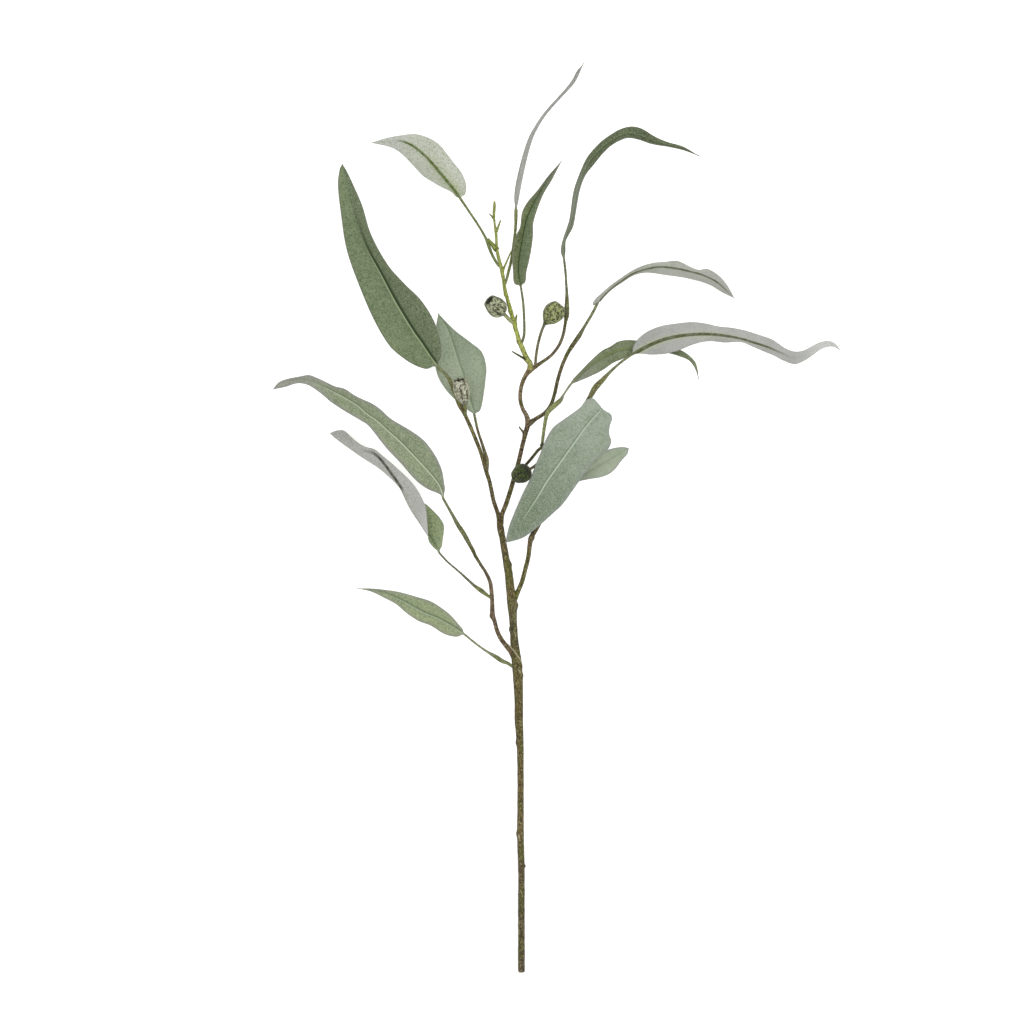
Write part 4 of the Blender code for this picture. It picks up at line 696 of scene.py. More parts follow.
# Adds a node: its settings first, then its inputs by name or number, each a value or another node's output
def addNode(tree, kind, settings, inputs, output=0):
    node = tree.nodes.new(kind)
    for name, setting in settings.items():
        setattr(node, name, setting)
    for key, given in inputs.items():
        if isinstance(given, Value):
            tree.links.new(given.socket, node.inputs[key])
        else:
            node.inputs[key].default_value = given
    return Value(tree, node.outputs[output])


# Colours in the tables are those that the picture should show under the studio's light
def shade(red, green, blue):
    shown = [c / 255 for c in (red, green, blue)]
    linear = [((c + 0.055) / 1.055) ** 2.4 if c > 10 / 255 else c / 12.92 for c in shown]
    return (*(c * underLight for c in linear), 1.0)


# A look's colours, ready for a material
def tonesOf(look):
    return {key: shade(*value) for key, value in look.items() if isinstance(value, tuple)}


def fade(tree, value, low, high):
    inputs = {"Value": value, "From Min": low, "From Max": high}
    return addNode(tree, "ShaderNodeMapRange", {"interpolation_type": "SMOOTHSTEP"}, inputs)


def blend(tree, factor, first, second, how="MIX"):
    settings = {"data_type": "RGBA", "blend_type": how, "clamp_factor": True}
    return addNode(tree, "ShaderNodeMix", settings, {0: factor, 6: first, 7: second}, output=2)


def pointValue(tree, name, vector=False):
    settings = {"attribute_name": name, "attribute_type": "GEOMETRY"}
    return addNode(tree, "ShaderNodeAttribute", settings, {}, output="Vector" if vector else "Fac")


def objectPlace(tree):
    return addNode(tree, "ShaderNodeTexCoord", {}, {}, output="Object")


def stretched(tree, place, x, y, z):
    return addNode(tree, "ShaderNodeVectorMath", {"operation": "MULTIPLY"}, {0: place, 1: (x, y, z)})


def grain(tree, place, scale, detail, roughness, distortion=0.0):
    inputs = {"Vector": place, "Scale": scale, "Detail": detail, "Roughness": roughness}
    return addNode(tree, "ShaderNodeTexNoise", {}, inputs | {"Distortion": distortion})


# Soft spots of noise: 0 where it is under low, 1 where it is over high
def spots(tree, place, scale, detail, roughness, low, high, stretch=None, distortion=0.0):
    if stretch:
        place = stretched(tree, place, *stretch)
    return fade(tree, grain(tree, place, scale, detail, roughness, distortion), low, high)


def newMaterial(name):
    made = bpy.data.materials.new(name)
    made.use_nodes = True
    tree = made.node_tree
    return made, tree, tree.nodes["Principled BSDF"]


# Joins colour, roughness and height to the surface. A look's bump is how many mm a height of 1 stands for.
def useOn(tree, surface, colour, roughness, height, look):
    tree.links.new(colour.socket, surface.inputs["Base Color"])
    tree.links.new(roughness.socket, surface.inputs["Roughness"])
    inputs = {"Strength": 1.0, "Distance": look["bump"] * mm, "Height": height}
    bump = addNode(tree, "ShaderNodeBump", {}, inputs)
    tree.links.new(bump.socket, surface.inputs["Normal"])
    surface.inputs["Specular IOR Level"].default_value = look["gloss"]


leafSpots = {
    "patches": dict(scale=48, detail=4, roughness=0.6, low=0.34, high=0.66),
    "cloud": dict(scale=210, detail=4, roughness=0.6, low=0.36, high=0.64),
    "speck": dict(scale=760, detail=1, roughness=0.5, low=0.42, high=0.62),
    "darkSpeck": dict(scale=640, detail=1, roughness=0.5, low=0.44, high=0.64, stretch=(1.0, 1.0, 1.7)),
    "fleck": dict(scale=330, detail=2, roughness=0.6, low=0.62, high=0.7, stretch=(1.3, 1.1, 1.0)),
}


# A leaf's material: colours of the green side, the pale side, the midrib, the edge and the stalk
def leafMaterial(name, look):
    made, tree, surface = newMaterial(name)
    tone = tonesOf(look)
    place = objectPlace(tree)
    across = pointValue(tree, "acrossMm")
    lengthwise = pointValue(tree, "alongMm")
    edge = pointValue(tree, "edgeMm")
    greenSide = pointValue(tree, "greenSide")
    onBlade = pointValue(tree, "onBlade")
    onSleeve = pointValue(tree, "onSleeve")
    allSpots = (spots(tree, place, **kind) for kind in leafSpots.values())
    patches, cloud, speck, darkSpeck, fleck = allSpots
    wobble = grain(tree, place, scale=90, detail=2, roughness=0.5) - 0.5
    rightHalf = fade(tree, across, -0.4, 0.6)
    nearTip = fade(tree, lengthwise, look["tipFrom"], look["tipTo"])

    # side veins leave the midrib at a slant, an even space apart
    phase = (lengthwise - abs(across) * look["veinSlant"]) / look["veinSpacing"] + wobble * look["veinWobble"]
    nearVein = abs(addNode(tree, "ShaderNodeMath", {"operation": "FRACT"}, {0: phase}) - 0.5)
    vein = 1.0 - fade(tree, nearVein, 0.04, 0.2)
    rib = 1.0 - fade(tree, abs(across), look["ribWidth"] * 0.35, look["ribWidth"])
    rib = rib * fade(tree, lengthwise, look["ribEnds"], look["ribEnds"] * 0.6)
    rim = (1.0 - fade(tree, edge, 0.1, look["rimWidth"])) ** 1.3

    green = blend(tree, patches, tone["greenDark"], tone["green"])
    green = blend(tree, cloud * look["mottle"], green, tone["greenPale"])
    green = blend(tree, nearTip * look["tipStrength"], green, tone["tip"])
    # the right half of the blade takes its own colour: partly the leaf's own tone, partly painted shade and
    # light where the two halves of the folded blade face the light differently
    green = blend(tree, rightHalf * look["rightHalfShadeAndTone"], green, tone["right"])
    green = blend(tree, vein * look["veinStrength"], green, tone["vein"])
    green = blend(tree, darkSpeck * look["speck"], green, tone["deep"])
    green = blend(tree, speck * look["speck"], green, tone["bloom"])
    green = blend(tree, fleck * look["flecks"], green, tone["bloom"])
    green = blend(tree, rim * look["rimStrength"], green, tone["rim"])
    # the blade is darker in the groove beside the midrib
    besideRib = 1.0 - fade(tree, abs(across - look["shadowWidth"] * 0.86), 0.5, look["shadowWidth"])
    besideRib = besideRib * fade(tree, lengthwise, look["ribEnds"] * 1.1, look["ribEnds"] * 0.7)
    green = blend(tree, besideRib * look["ribShadow"], green, tone["deep"])
    green = blend(tree, rib * look["ribStrength"], green, tone["greenRib"])

    pale = blend(tree, patches, tone["paleDark"], tone["pale"])
    pale = blend(tree, nearTip * look["paleTipStrength"], pale, tone["paleTip"])
    glow = 1.0 - fade(tree, abs(across), 0.0, look["glowWidth"])
    glow = glow * fade(tree, lengthwise, look["ribEnds"], 10.0)
    pale = blend(tree, glow * look["paleGlow"] * (cloud * 0.6 + 0.4), pale, tone["paleWarm"])
    pale = blend(tree, vein * look["paleVeinStrength"], pale, tone["paleVein"])
    pale = blend(tree, darkSpeck * look["paleSpeck"], pale, tone["paleVein"])
    pale = blend(tree, speck * look["paleSpeck"], pale, tone["paleBloom"])
    pale = blend(tree, rim * look["paleRimStrength"], pale, tone["paleRim"])
    ribNarrows = look["paleRibWidth"] * (1.15 - lengthwise * (0.6 / look["ribEnds"]))
    paleRib = 1.0 - fade(tree, abs(across) / ribNarrows, 0.6, 1.0)
    paleRib = paleRib * fade(tree, lengthwise, look["ribEnds"], look["ribEnds"] * 0.8)
    paleRib = paleRib * fade(tree, lengthwise, look["ribFrom"] - 8.0, look["ribFrom"])
    paleRib = paleRib * (cloud * 0.25 + 0.75)
    pale = blend(tree, paleRib, pale, tone["paleRib"])

    blade = blend(tree, greenSide, pale, green)
    stalk = blend(tree, cloud, tone["stalkDark"], tone["stalk"])
    sleeve = blend(tree, cloud, tone["sleeveDark"], tone["sleeve"])
    stalk = blend(tree, onSleeve, stalk, sleeve)
    stalk = blend(tree, speck * look["stalkSpeck"], stalk, tone["stalkFleck"])
    stalk = blend(tree, darkSpeck * look["stalkSpeck"], stalk, tone["stalkDeepAndShade"])
    # painted shade: the stalk darkens towards its sides, where it turns away from straight up
    facing = pointValue(tree, "facing")
    stalk = blend(tree, (1.0 - facing) ** 2.0 * look["stalkSideShade"], stalk, tone["stalkDeepAndShade"])
    colour = blend(tree, onBlade, stalk, blade)
    roughness = 0.52 + speck * 0.14 + patches * 0.06
    height = speck * 0.4 + cloud * 0.4 - vein * 0.45 - darkSpeck * 0.3
    useOn(tree, surface, colour, roughness, height, look)
    return made


barkSpots = {
    "streaks": dict(
        scale=0.9, detail=3, roughness=0.6, low=0.4, high=0.6, stretch=(1.0, 1.0, 0.2), distortion=0.3
    ),
    "blotches": dict(scale=0.18, detail=3, roughness=0.6, low=0.4, high=0.62, stretch=(1.0, 1.0, 0.5)),
    "flecks": dict(scale=0.8, detail=2, roughness=0.6, low=0.54, high=0.64, stretch=(1.0, 1.0, 0.8)),
    "pores": dict(scale=0.85, detail=2, roughness=0.5, low=0.52, high=0.62, stretch=(1.2, 1.0, 0.9)),
    "moss": dict(scale=0.12, detail=3, roughness=0.6, low=0.48, high=0.62, stretch=(1.0, 1.0, 0.4)),
}


# Bark: long streaks, blotches, pale flecks and dark pores, with painted shade at the sides of the wood. It
# reads the wood's own lengthwise place.
def barkMaterial(name, look):
    made, tree, surface = newMaterial(name)
    tone = tonesOf(look)
    grainPlace = pointValue(tree, "grainMm", vector=True)
    painted = pointValue(tree, "paint", vector=True)
    facing = pointValue(tree, "facing")
    torn = pointValue(tree, "torn")
    allSpots = (spots(tree, grainPlace, **kind) for kind in barkSpots.values())
    streaks, blotches, flecks, pores, moss = allSpots
    colour = blend(tree, streaks * look["streakiness"], painted, tone["dark"])
    colour = blend(tree, blotches * look["blotchiness"], colour, tone["warm"])
    colour = blend(tree, moss * look["mossy"], colour, tone["moss"])
    colour = blend(tree, flecks * look["fleckiness"], colour, tone["fleck"])
    colour = blend(tree, pores * look["poriness"], colour, tone["poreAndShade"])
    # painted shade: the wood darkens in the pore colour towards its sides, where it turns away from straight
    # up
    colour = blend(tree, (1.0 - facing) ** 2.0 * look["edges"], colour, tone["poreAndShade"])
    colour = blend(tree, torn * look["tornness"], colour, tone["torn"])
    roughness = 0.62 + streaks * 0.15
    height = streaks * 0.8 + flecks * 0.5 - pores * 0.8
    useOn(tree, surface, colour, roughness, height, look)
    return made


gumnutSpots = {
    "mottle": dict(scale=360, detail=3, roughness=0.65, low=0.44, high=0.58, distortion=0.4),
    "frost": dict(scale=420, detail=3, roughness=0.65, low=0.5, high=0.64, stretch=(1.1, 1.0, 1.3)),
    "flecks": dict(scale=520, detail=2, roughness=0.6, low=0.56, high=0.66, stretch=(1.0, 1.2, 1.0)),
}


# Gumnut skin: dark grooves, a frosted bloom, pale flecks and painted shade at the sides
def gumnutMaterial(name, look):
    made, tree, surface = newMaterial(name)
    tone = tonesOf(look)
    place = objectPlace(tree)
    raised = pointValue(tree, "raised")
    inMouth = pointValue(tree, "inMouth")
    onStalk = pointValue(tree, "onStalk")
    mottle, frost, flecks = (spots(tree, place, **kind) for kind in gumnutSpots.values())
    colour = blend(tree, raised, tone["groove"], tone["skin"])
    colour = blend(tree, mottle * look["mottled"], colour, tone["groove"])
    colour = blend(tree, frost * look["frostiness"], colour, tone["frost"])
    colour = blend(tree, flecks * look["fleckiness"], colour, tone["fleck"])
    # painted shade: the capsule darkens towards its sides, where it turns away from straight up
    edge = (1.0 - pointValue(tree, "facing")) ** 1.5
    colour = blend(tree, edge * (mottle * 0.5 + 0.4), colour, tone["edgeShade"])
    colour = blend(tree, pointValue(tree, "nearBase") * 0.6, colour, tone["groove"])
    colour = blend(tree, inMouth, colour, tone["mouth"])
    stalk = blend(tree, frost, tone["stalk"], tone["stalkDark"])
    # painted shade at the sides of the stalk
    stalk = blend(tree, edge * 0.8, stalk, tone["stalkDark"])
    colour = blend(tree, onStalk, colour, stalk)
    roughness = 0.55 + frost * 0.2
    height = frost * 0.6 + flecks * 0.5
    useOn(tree, surface, colour, roughness, height, look)
    return made


# A stalk's points, begun inside the wood that carries it, or further back where a twig runs on into it
def stalkInWood(name, points):
    carrier = carriers.get(name)
    first, second = np.array(points[0][:3], float), np.array(points[1][:3], float)
    if carrier is None:
        back = unit(first - second)
        return [(*(first + freeStart["back"] * back), points[0][3] * freeStart["width"]), *points]
    wood, _, length = along(carrier, np.linspace(0, 1, carrierSteps))
    nearest = np.argmin(np.linalg.norm(wood[:, :3] - first, axis=1))
    foot = joinFoot.get(name, usualFoot)
    start = max(0, nearest - round(foot / length * carrierSteps))
    where = wood[start, :3]
    kept = [point for point in points if np.linalg.norm(np.array(point[:3]) - where) > 0.6 * foot]
    return [(*where, points[0][3]), *kept]


# A blade's middle surface row by row, with each row's directions to the right and up and its half widths
def bladeSurface(shape, shares, columnShares):
    s = leafSettings
    base = shape["stalk"][-1][:3]
    rib, forward, length = along((base, *shape["rib"], shape["tip"]), shares)
    left, _, _ = along((base, *shape["left"], shape["tip"]), shares)
    right, _, _ = along((base, *shape["right"], shape["tip"]), shares)
    over = right[3] - left[3]
    rows, overs, lifts, halfWidths = [], [], [], []
    for place, ahead, a, b in zip(rib, forward, left, right):
        over = unit(b - a) if math.dist(a, b) > s["narrowWidth"] else squaredOff(over, ahead)
        a = a - over * max(0.0, s["leastHalfWidth"] + np.dot(a - place, over))
        b = b + over * max(0.0, s["leastHalfWidth"] - np.dot(b - place, over))
        lift = unit(np.cross(over, ahead))
        span = np.abs(columnShares)[:, None]
        toEdge = np.where(columnShares[:, None] < 0, a - place, b - place)
        reach = np.linalg.norm(toEdge, axis=1)
        bulge = 4 * span * (1 - span) * s["camber"] * reach[:, None]
        rows.append(place + span * toEdge + bulge * lift)
        overs.append(over)
        lifts.append(lift)
        halfWidths.append(reach)
    surface = np.array(rows)
    surface[:, :, 2] = np.clip(surface[:, :, 2], s["lowest"], s["highest"])
    return rib, length, surface, overs, lifts, np.array(halfWidths)


# Its upper and lower face: the midrib stands out of the pale side, and a groove runs along the green one
def bladeFaces(surface, acrossMm, shares, columnShares, greenUp):
    s = leafSettings
    outward = np.cross(np.gradient(surface, axis=1), np.gradient(surface, axis=0))
    outward /= np.maximum(np.linalg.norm(outward, axis=2)[:, :, None], 1e-9)
    taper = np.clip(1 - shares / s["ribEnd"], 0, 1)[:, None] ** 0.6
    ribHalf = s["ribHalfWidth"] * (0.3 + 0.7 * taper)
    ridge = s["ribHeight"] * (0.15 + 0.85 * taper) * np.sqrt(np.clip(1 - (acrossMm / ribHalf) ** 2, 0, 1))
    groove = s["grooveDepth"] * np.exp(-((acrossMm / s["grooveHalfWidth"]) ** 2))
    half = s["thickness"] / 2 * (1 - s["edgeThinning"] * np.abs(columnShares)[None, :] ** 10)
    above, below = (half - groove, half + ridge) if greenUp else (half + ridge, half - groove)
    top = surface + above[:, :, None] * outward
    bottom = surface - below[:, :, None] * outward
    bottom[:, :, 2] = np.maximum(bottom[:, :, 2], s["floorGap"])
    return top, bottom


# A stalk's rings run on into those of the blade, which flatten from round over its first share
def leafPiece(name, shape, look, material):
    s = leafSettings
    steps = np.linspace(-1, 1, 2 * s["columns"] + 1)
    columnShares = np.sign(steps) * np.abs(steps) ** s["columnCrowding"]
    width = len(columnShares)
    shares = 1 - (1 - np.linspace(0, 1, s["bladeRows"])) ** s["rowCrowding"]
    rib, length, surface, overs, lifts, halfWidths = bladeSurface(shape, shares, columnShares)
    acrossMm = columnShares[None, :] * halfWidths
    edgeMm = (1 - np.abs(columnShares)[None, :]) * halfWidths
    greenUp = shape["greenUp"]
    top, bottom = bladeFaces(surface, acrossMm, shares, columnShares, greenUp)

    turns = math.tau * (np.arange(2 * width) + 0.5) / (2 * width)
    points = stalkInWood(name, shape["stalk"])
    stalk, headings, stalkLength = along(points, np.linspace(0, 1, s["stalkRows"]))
    side, up = carriedSides(headings[::-1], -overs[0])
    side, up = side[::-1], up[::-1]
    lumps = [noise.noise(Vector(place[:3] * s["lumpsPerMm"])) for place in stalk]
    radii = stalk[:, 3] * (1 + s["stalkLumps"] * np.array(lumps))
    sleeveEnd = look["sleeveShare"]
    rings = Rings(leafLayers)
    greenRow = np.r_[np.full(width, float(greenUp)), np.full(width, float(not greenUp))]
    none = np.zeros(2 * width)
    for row in range(s["stalkRows"] - 1):
        circle = np.outer(np.cos(turns), side[row]) + np.outer(np.sin(turns), up[row])
        ring = stalk[row, :3] + radii[row] * circle
        share = row / (s["stalkRows"] - 1)
        beforeBlade = none + (share - 1) * stalkLength
        sleeve = 1 - smoothStep(sleeveEnd - 0.02, sleeveEnd + 0.02, share) if sleeveEnd else 0.0
        # how much the stalk faces straight up or down, which sets its painted shade at the sides
        facing = np.abs(circle[:, 2])
        rings.add(ring, none, beforeBlade, none + farFromEdge, greenRow, none, none + sleeve, facing)
    for row, share in enumerate(shares):
        flat = np.vstack([top[row], bottom[row][::-1]])
        circle = np.outer(np.cos(turns), -overs[row]) + np.outer(np.sin(turns), lifts[row])
        mix = smoothStep(0.0, shape.get("baseBlend", s["baseBlend"]), share)
        ring = (rib[row] + stalk[-1, 3] * circle) * (1 - mix) + flat * mix
        across, toEdge = (np.r_[given[row], given[row][::-1]] for given in (acrossMm, edgeMm))
        onBlade = none + smoothStep(0.0, 0.03, share)
        rings.add(ring, across, none + share * length, toEdge, greenRow, onBlade, none, none + 1)
    body, layers = newBody(leafLayers)
    skin(body, rings, layers)
    finishedPiece(body, material, name)


# How far a knot lifts the wood of a ring, in the direction of one of its spokes
def knotHeight(knot, far, length, radius, spoke, heading):
    share, angle, long, wide, height = knot
    gap = (far - share * length) / (long * 0.5)
    if abs(gap) >= 3:
        return 0.0
    up = squaredOff(np.array([0, 0, 1.0]), heading)
    seen = math.atan2(-np.dot(spoke, up), np.dot(spoke, np.cross(heading, up)))
    aside = (math.degrees(seen) + angle + 180) % 360 - 180
    arc = math.radians(aside) * radius / (wide * 0.5)
    return height * math.exp(-gap * gap - arc * arc)


# The skin of a stem or twig. knots are (share, angle, length, width, height), and each swells the wood.
def woodSkin(
    body, layers, points, seed, paint, changes=None, knots=(), collar=True, cutEnd=False, torn=0.0
):
    settings = woodSettings | (changes or {})
    length = sum(math.dist(a[:3], b[:3]) for a, b in zip(points, points[1:]))
    count = max(8, round(length / settings["ringSpacing"]))
    places, headings, length = along(points, np.linspace(0, 1, count))
    side, up = carriedSides(headings, np.array([1.0, 0.05, 0.02]))
    turns = math.tau * np.arange(settings["sides"]) / settings["sides"]
    rings = Rings(layers)
    paintShares = [share for share, _ in paint]
    paintColours = np.array([shade(*colour)[:3] for _, colour in paint])
    for row, (place, right, high) in enumerate(zip(places, side, up)):
        far = row / (count - 1) * length
        radius = place[3]
        if collar:
            fallOff = math.exp(-((far / (settings["collarLength"] * place[3])) ** 2))
            radius *= 1 + (settings["collar"] - 1) * fallOff
        if cutEnd and far < settings["cutRounding"]:
            radius *= 0.55 + 0.45 * math.sqrt(max(0.0, 1 - (1 - far / settings["cutRounding"]) ** 2))
        ring, grainRow = [], []
        for turn in turns:
            spoke = math.cos(turn) * right - math.sin(turn) * high
            x, y = math.cos(turn) * settings["bumpsRound"], math.sin(turn) * settings["bumpsRound"]
            where = Vector((x + seed * settings["seedStep"], y, far * settings["bumpsPerMm"]))
            rough = noise.noise(where) + settings["fineShare"] * noise.noise(where * settings["fineBumps"])
            swell = radius * (1 + settings["roughness"] * rough)
            for knot in knots:
                swell += knotHeight(knot, far, length, place[3], spoke, headings[row])
            ring.append(place[:3] + swell * spoke)
            grainX = radius * math.cos(turn) + seed * settings["grainStep"]
            grainRow.append((grainX, radius * math.sin(turn), far))
        painted = [np.interp(far / length, paintShares, channel) for channel in paintColours.T]
        # how much each point faces straight up or down, which sets the painted shade at the sides
        facing = [abs(unit(point - place[:3])[2]) for point in ring]
        rings.add(ring, grainRow, [painted] * len(turns), facing, [torn] * len(turns))
    skin(body, rings, layers)


# A spur sags a little on its way to the tip and gets thinner
def spurPoints(root, tip, radius):
    root, tip = np.array(root), np.array(tip)
    s = spurSettings
    knee = root + s["kneeAt"] * (tip - root) - np.array([0, 0, s["sag"]]) * np.linalg.norm(tip - root)
    return [(*root, radius), (*knee, radius * s["kneeWidth"]), (*tip, radius * s["tipWidth"])]


# A twig's end reaches the start of the stalk that it carries
def reachingStalk(points, stalk):
    first, second = np.array(stalk[0][:3], float), np.array(stalk[1][:3], float)
    back = unit(first - second)
    ended = [(*(first + reach * back), stalk[0][3]) for reach in (twigReach, 0.0)]
    return [*points, *ended]


# A stalk, the capsule's outside up to its rim, and the inside of its mouth, as one skin
def gumnutPiece(name, points, look, material):
    s = gumnutSettings
    *stalkPoints, mouth = points
    stalkPoints = [(*place, look["stalkRadius"]) for place in stalkPoints]
    base, mouth = np.array(stalkPoints[-1][:3], float), np.array(mouth, float)
    axis, length = unit(mouth - base), np.linalg.norm(mouth - base)
    stalk, headings, _ = along(stalkInWood(name, stalkPoints), np.linspace(0, 1, s["stalkRows"]))
    sides, ups = carriedSides(headings, np.array([0.3, -0.2, 1.0]))
    turns = math.tau * (np.arange(s["sides"]) + 0.5) / s["sides"]
    none = np.zeros(s["sides"])
    rings = Rings(gumnutLayers)
    for place, side, up in zip(stalk[:-1], sides, ups):
        spokes = np.outer(np.cos(turns), side) + np.outer(np.sin(turns), up)
        rings.add(place[:3] + place[3] * spokes, none, none, none + 1, none, np.abs(spokes[:, 2]))
    side = squaredOff(sides[-1], axis)
    up = np.cross(axis, side)
    outline = np.array([(a, b, 0.0, 0.0) for a, b in look["outside"] + look["mouthOutline"]])
    outline, _, _ = along(outline, np.linspace(0, 1, s["outlineRows"]))
    rim = np.argmax(outline[:, 0])
    spokes = np.outer(np.cos(turns), side) + np.outer(np.sin(turns), up)
    ribs = (0.5 + 0.5 * np.cos(turns * look["ribs"] + 0.6)) ** 0.7
    for row, (share, wide) in enumerate(outline[:, :2]):
        outer = smoothStep(0.08, 0.3, share) if row <= rim else 0.0
        seen = [(math.cos(t) * 2, math.sin(t) * 2, share * 4 + look["radius"]) for t in turns]
        lumps = s["lumps"] * np.array([noise.noise(Vector(place)) for place in seen])
        radius = look["radius"] * wide * (1 - look["ribDepth"] * outer * (1 - ribs) + lumps)
        tooth = look["tooth"] * ribs * math.exp(-(((row - rim) / 4) ** 2))
        ring = base + axis * (length * share + tooth)[:, None] + radius[:, None] * spokes
        raised = ribs * outer + (1 - outer) * 0.5
        inMouth = none + (smoothStep(0, 5, row - rim) if row > rim else 0.0)
        nearBase = none + (1 - smoothStep(0.0, 0.25, share))
        rings.add(ring, raised, inMouth, none, nearBase, np.abs(spokes[:, 2]))
    body, layers = newBody(gumnutLayers)
    skin(body, rings, layers)
    finishedPiece(body, material, name)


carrierSteps = 600
# A stalk that a twig runs on into starts this many mm back, at this share of its width
freeStart = {"back": 1.6, "width": 0.9}
twigReach = 4.3  # mm over which a twig's end takes the direction of the stalk
# How far back down the wood a stalk starts, in mm
usualFoot = 3.0
joinFoot = {
    "leaf_centre_left": 9.0,
    "leaf_top_centre": 7.0,
    "leaf_front": 2.0,
    "leaf_left_low": 7.0,
    "gumnut_centre": 1.0,
}
leafLayers = ("acrossMm", "alongMm", "edgeMm", "greenSide", "onBlade", "onSleeve", "facing")
farFromEdge = 9.0  # the edge distance that a stalk is given
gumnutLayers = ("raised", "inMouth", "onStalk", "nearBase", "facing")
# What carries each stalk, and which leaf each twig runs on into
carriers = {
    "flowering_twig": woodPoints["right_twig"],
    "leaf_centre_left": woodPoints["left_twig"],
    "leaf_top_centre": limeTwigPoints,
    "leaf_top_left": limeTwigPoints,
    "leaf_top": limeTwigPoints,
    "leaf_front": woodPoints["right_branch"],
    "leaf_front_back": woodPoints["right_branch"],
    "leaf_left_twisted": woodPoints["left_branch"],
    "leaf_left_low": woodPoints["main"],
    "gumnut_left": woodPoints["left_twig"],
    "gumnut_top": limeTwigPoints,
    "gumnut_right": woodPoints["right_twig"],
    "gumnut_centre": (*woodPoints["centre_twig"], leafShapes["leaf_right_back"]["stalk"][0]),
}
carriedLeaf = {
    "left_twig": "leaf_upper_left",
    "right_twig": "leaf_arching",
    "right_spray": "leaf_right_upper",
    "right_branch": "leaf_right_large",
    "left_branch": "leaf_left_long",
    "centre_twig": "leaf_right_back",
}

# Colours are as they look on a screen, 0 to 255. Lengths are in mm from the blade's base.
plainLook = {
    "green": (104, 121, 82),
    "greenDark": (86, 102, 66),
    "greenPale": (130, 143, 106),
    "deep": (64, 78, 48),
    "bloom": (156, 166, 130),
    "vein": (134, 147, 110),
    "rim": (122, 118, 108),
    "greenRib": (150, 164, 118),
    "right": (92, 104, 78),
    "rightHalfShadeAndTone": 0.0,
    "pale": (188, 192, 178),
    "paleDark": (172, 177, 162),
    "paleVein": (138, 144, 118),
    "paleRim": (160, 160, 150),
    "paleRib": (98, 112, 52),
    "paleRibWidth": 1.5,
    "paleGlow": 0.45,
    "glowWidth": 9.0,
    "paleWarm": (160, 170, 122),
    "paleBloom": (210, 212, 202),
    "paleSpeck": 0.4,
    "paleTip": (196, 196, 192),
    "paleTipStrength": 0.0,
    "tip": (150, 160, 120),
    "tipFrom": 60.0,
    "tipTo": 150.0,
    "tipStrength": 0.0,
    "stalk": (132, 138, 98),
    "stalkDark": (104, 110, 74),
    "stalkFleck": (168, 172, 130),
    "stalkDeepAndShade": (74, 78, 48),
    "sleeve": (134, 138, 66),
    "sleeveDark": (98, 102, 44),
    "sleeveShare": 0.0,
    "flecks": 0.45,
    "rimStrength": 0.5,
    "rimWidth": 0.95,
    "ribShadow": 0.35,
    "shadowWidth": 1.4,
    "veinSlant": 0.9,
    "veinSpacing": 2.6,
    "veinWobble": 1.4,
    "veinStrength": 0.25,
    "paleVeinStrength": 0.25,
    "paleRimStrength": 0.45,
    "stalkSpeck": 0.5,
    "stalkSideShade": 0.8,
    "bump": 0.12,
    "gloss": 0.2,
    "mottle": 0.5,
    "speck": 0.45,
    "ribWidth": 0.7,
    "ribStrength": 0.7,
    "ribEnds": 150.0,
    "ribFrom": -20.0,
}
blueGreenLook = plainLook | {
    "green": (136, 152, 122),
    "greenDark": (118, 134, 104),
    "greenPale": (156, 170, 140),
    "deep": (96, 112, 84),
    "bloom": (184, 194, 168),
    "vein": (162, 174, 144),
    "rim": (146, 150, 144),
    "greenRib": (178, 194, 164),
    "right": (122, 138, 112),
}
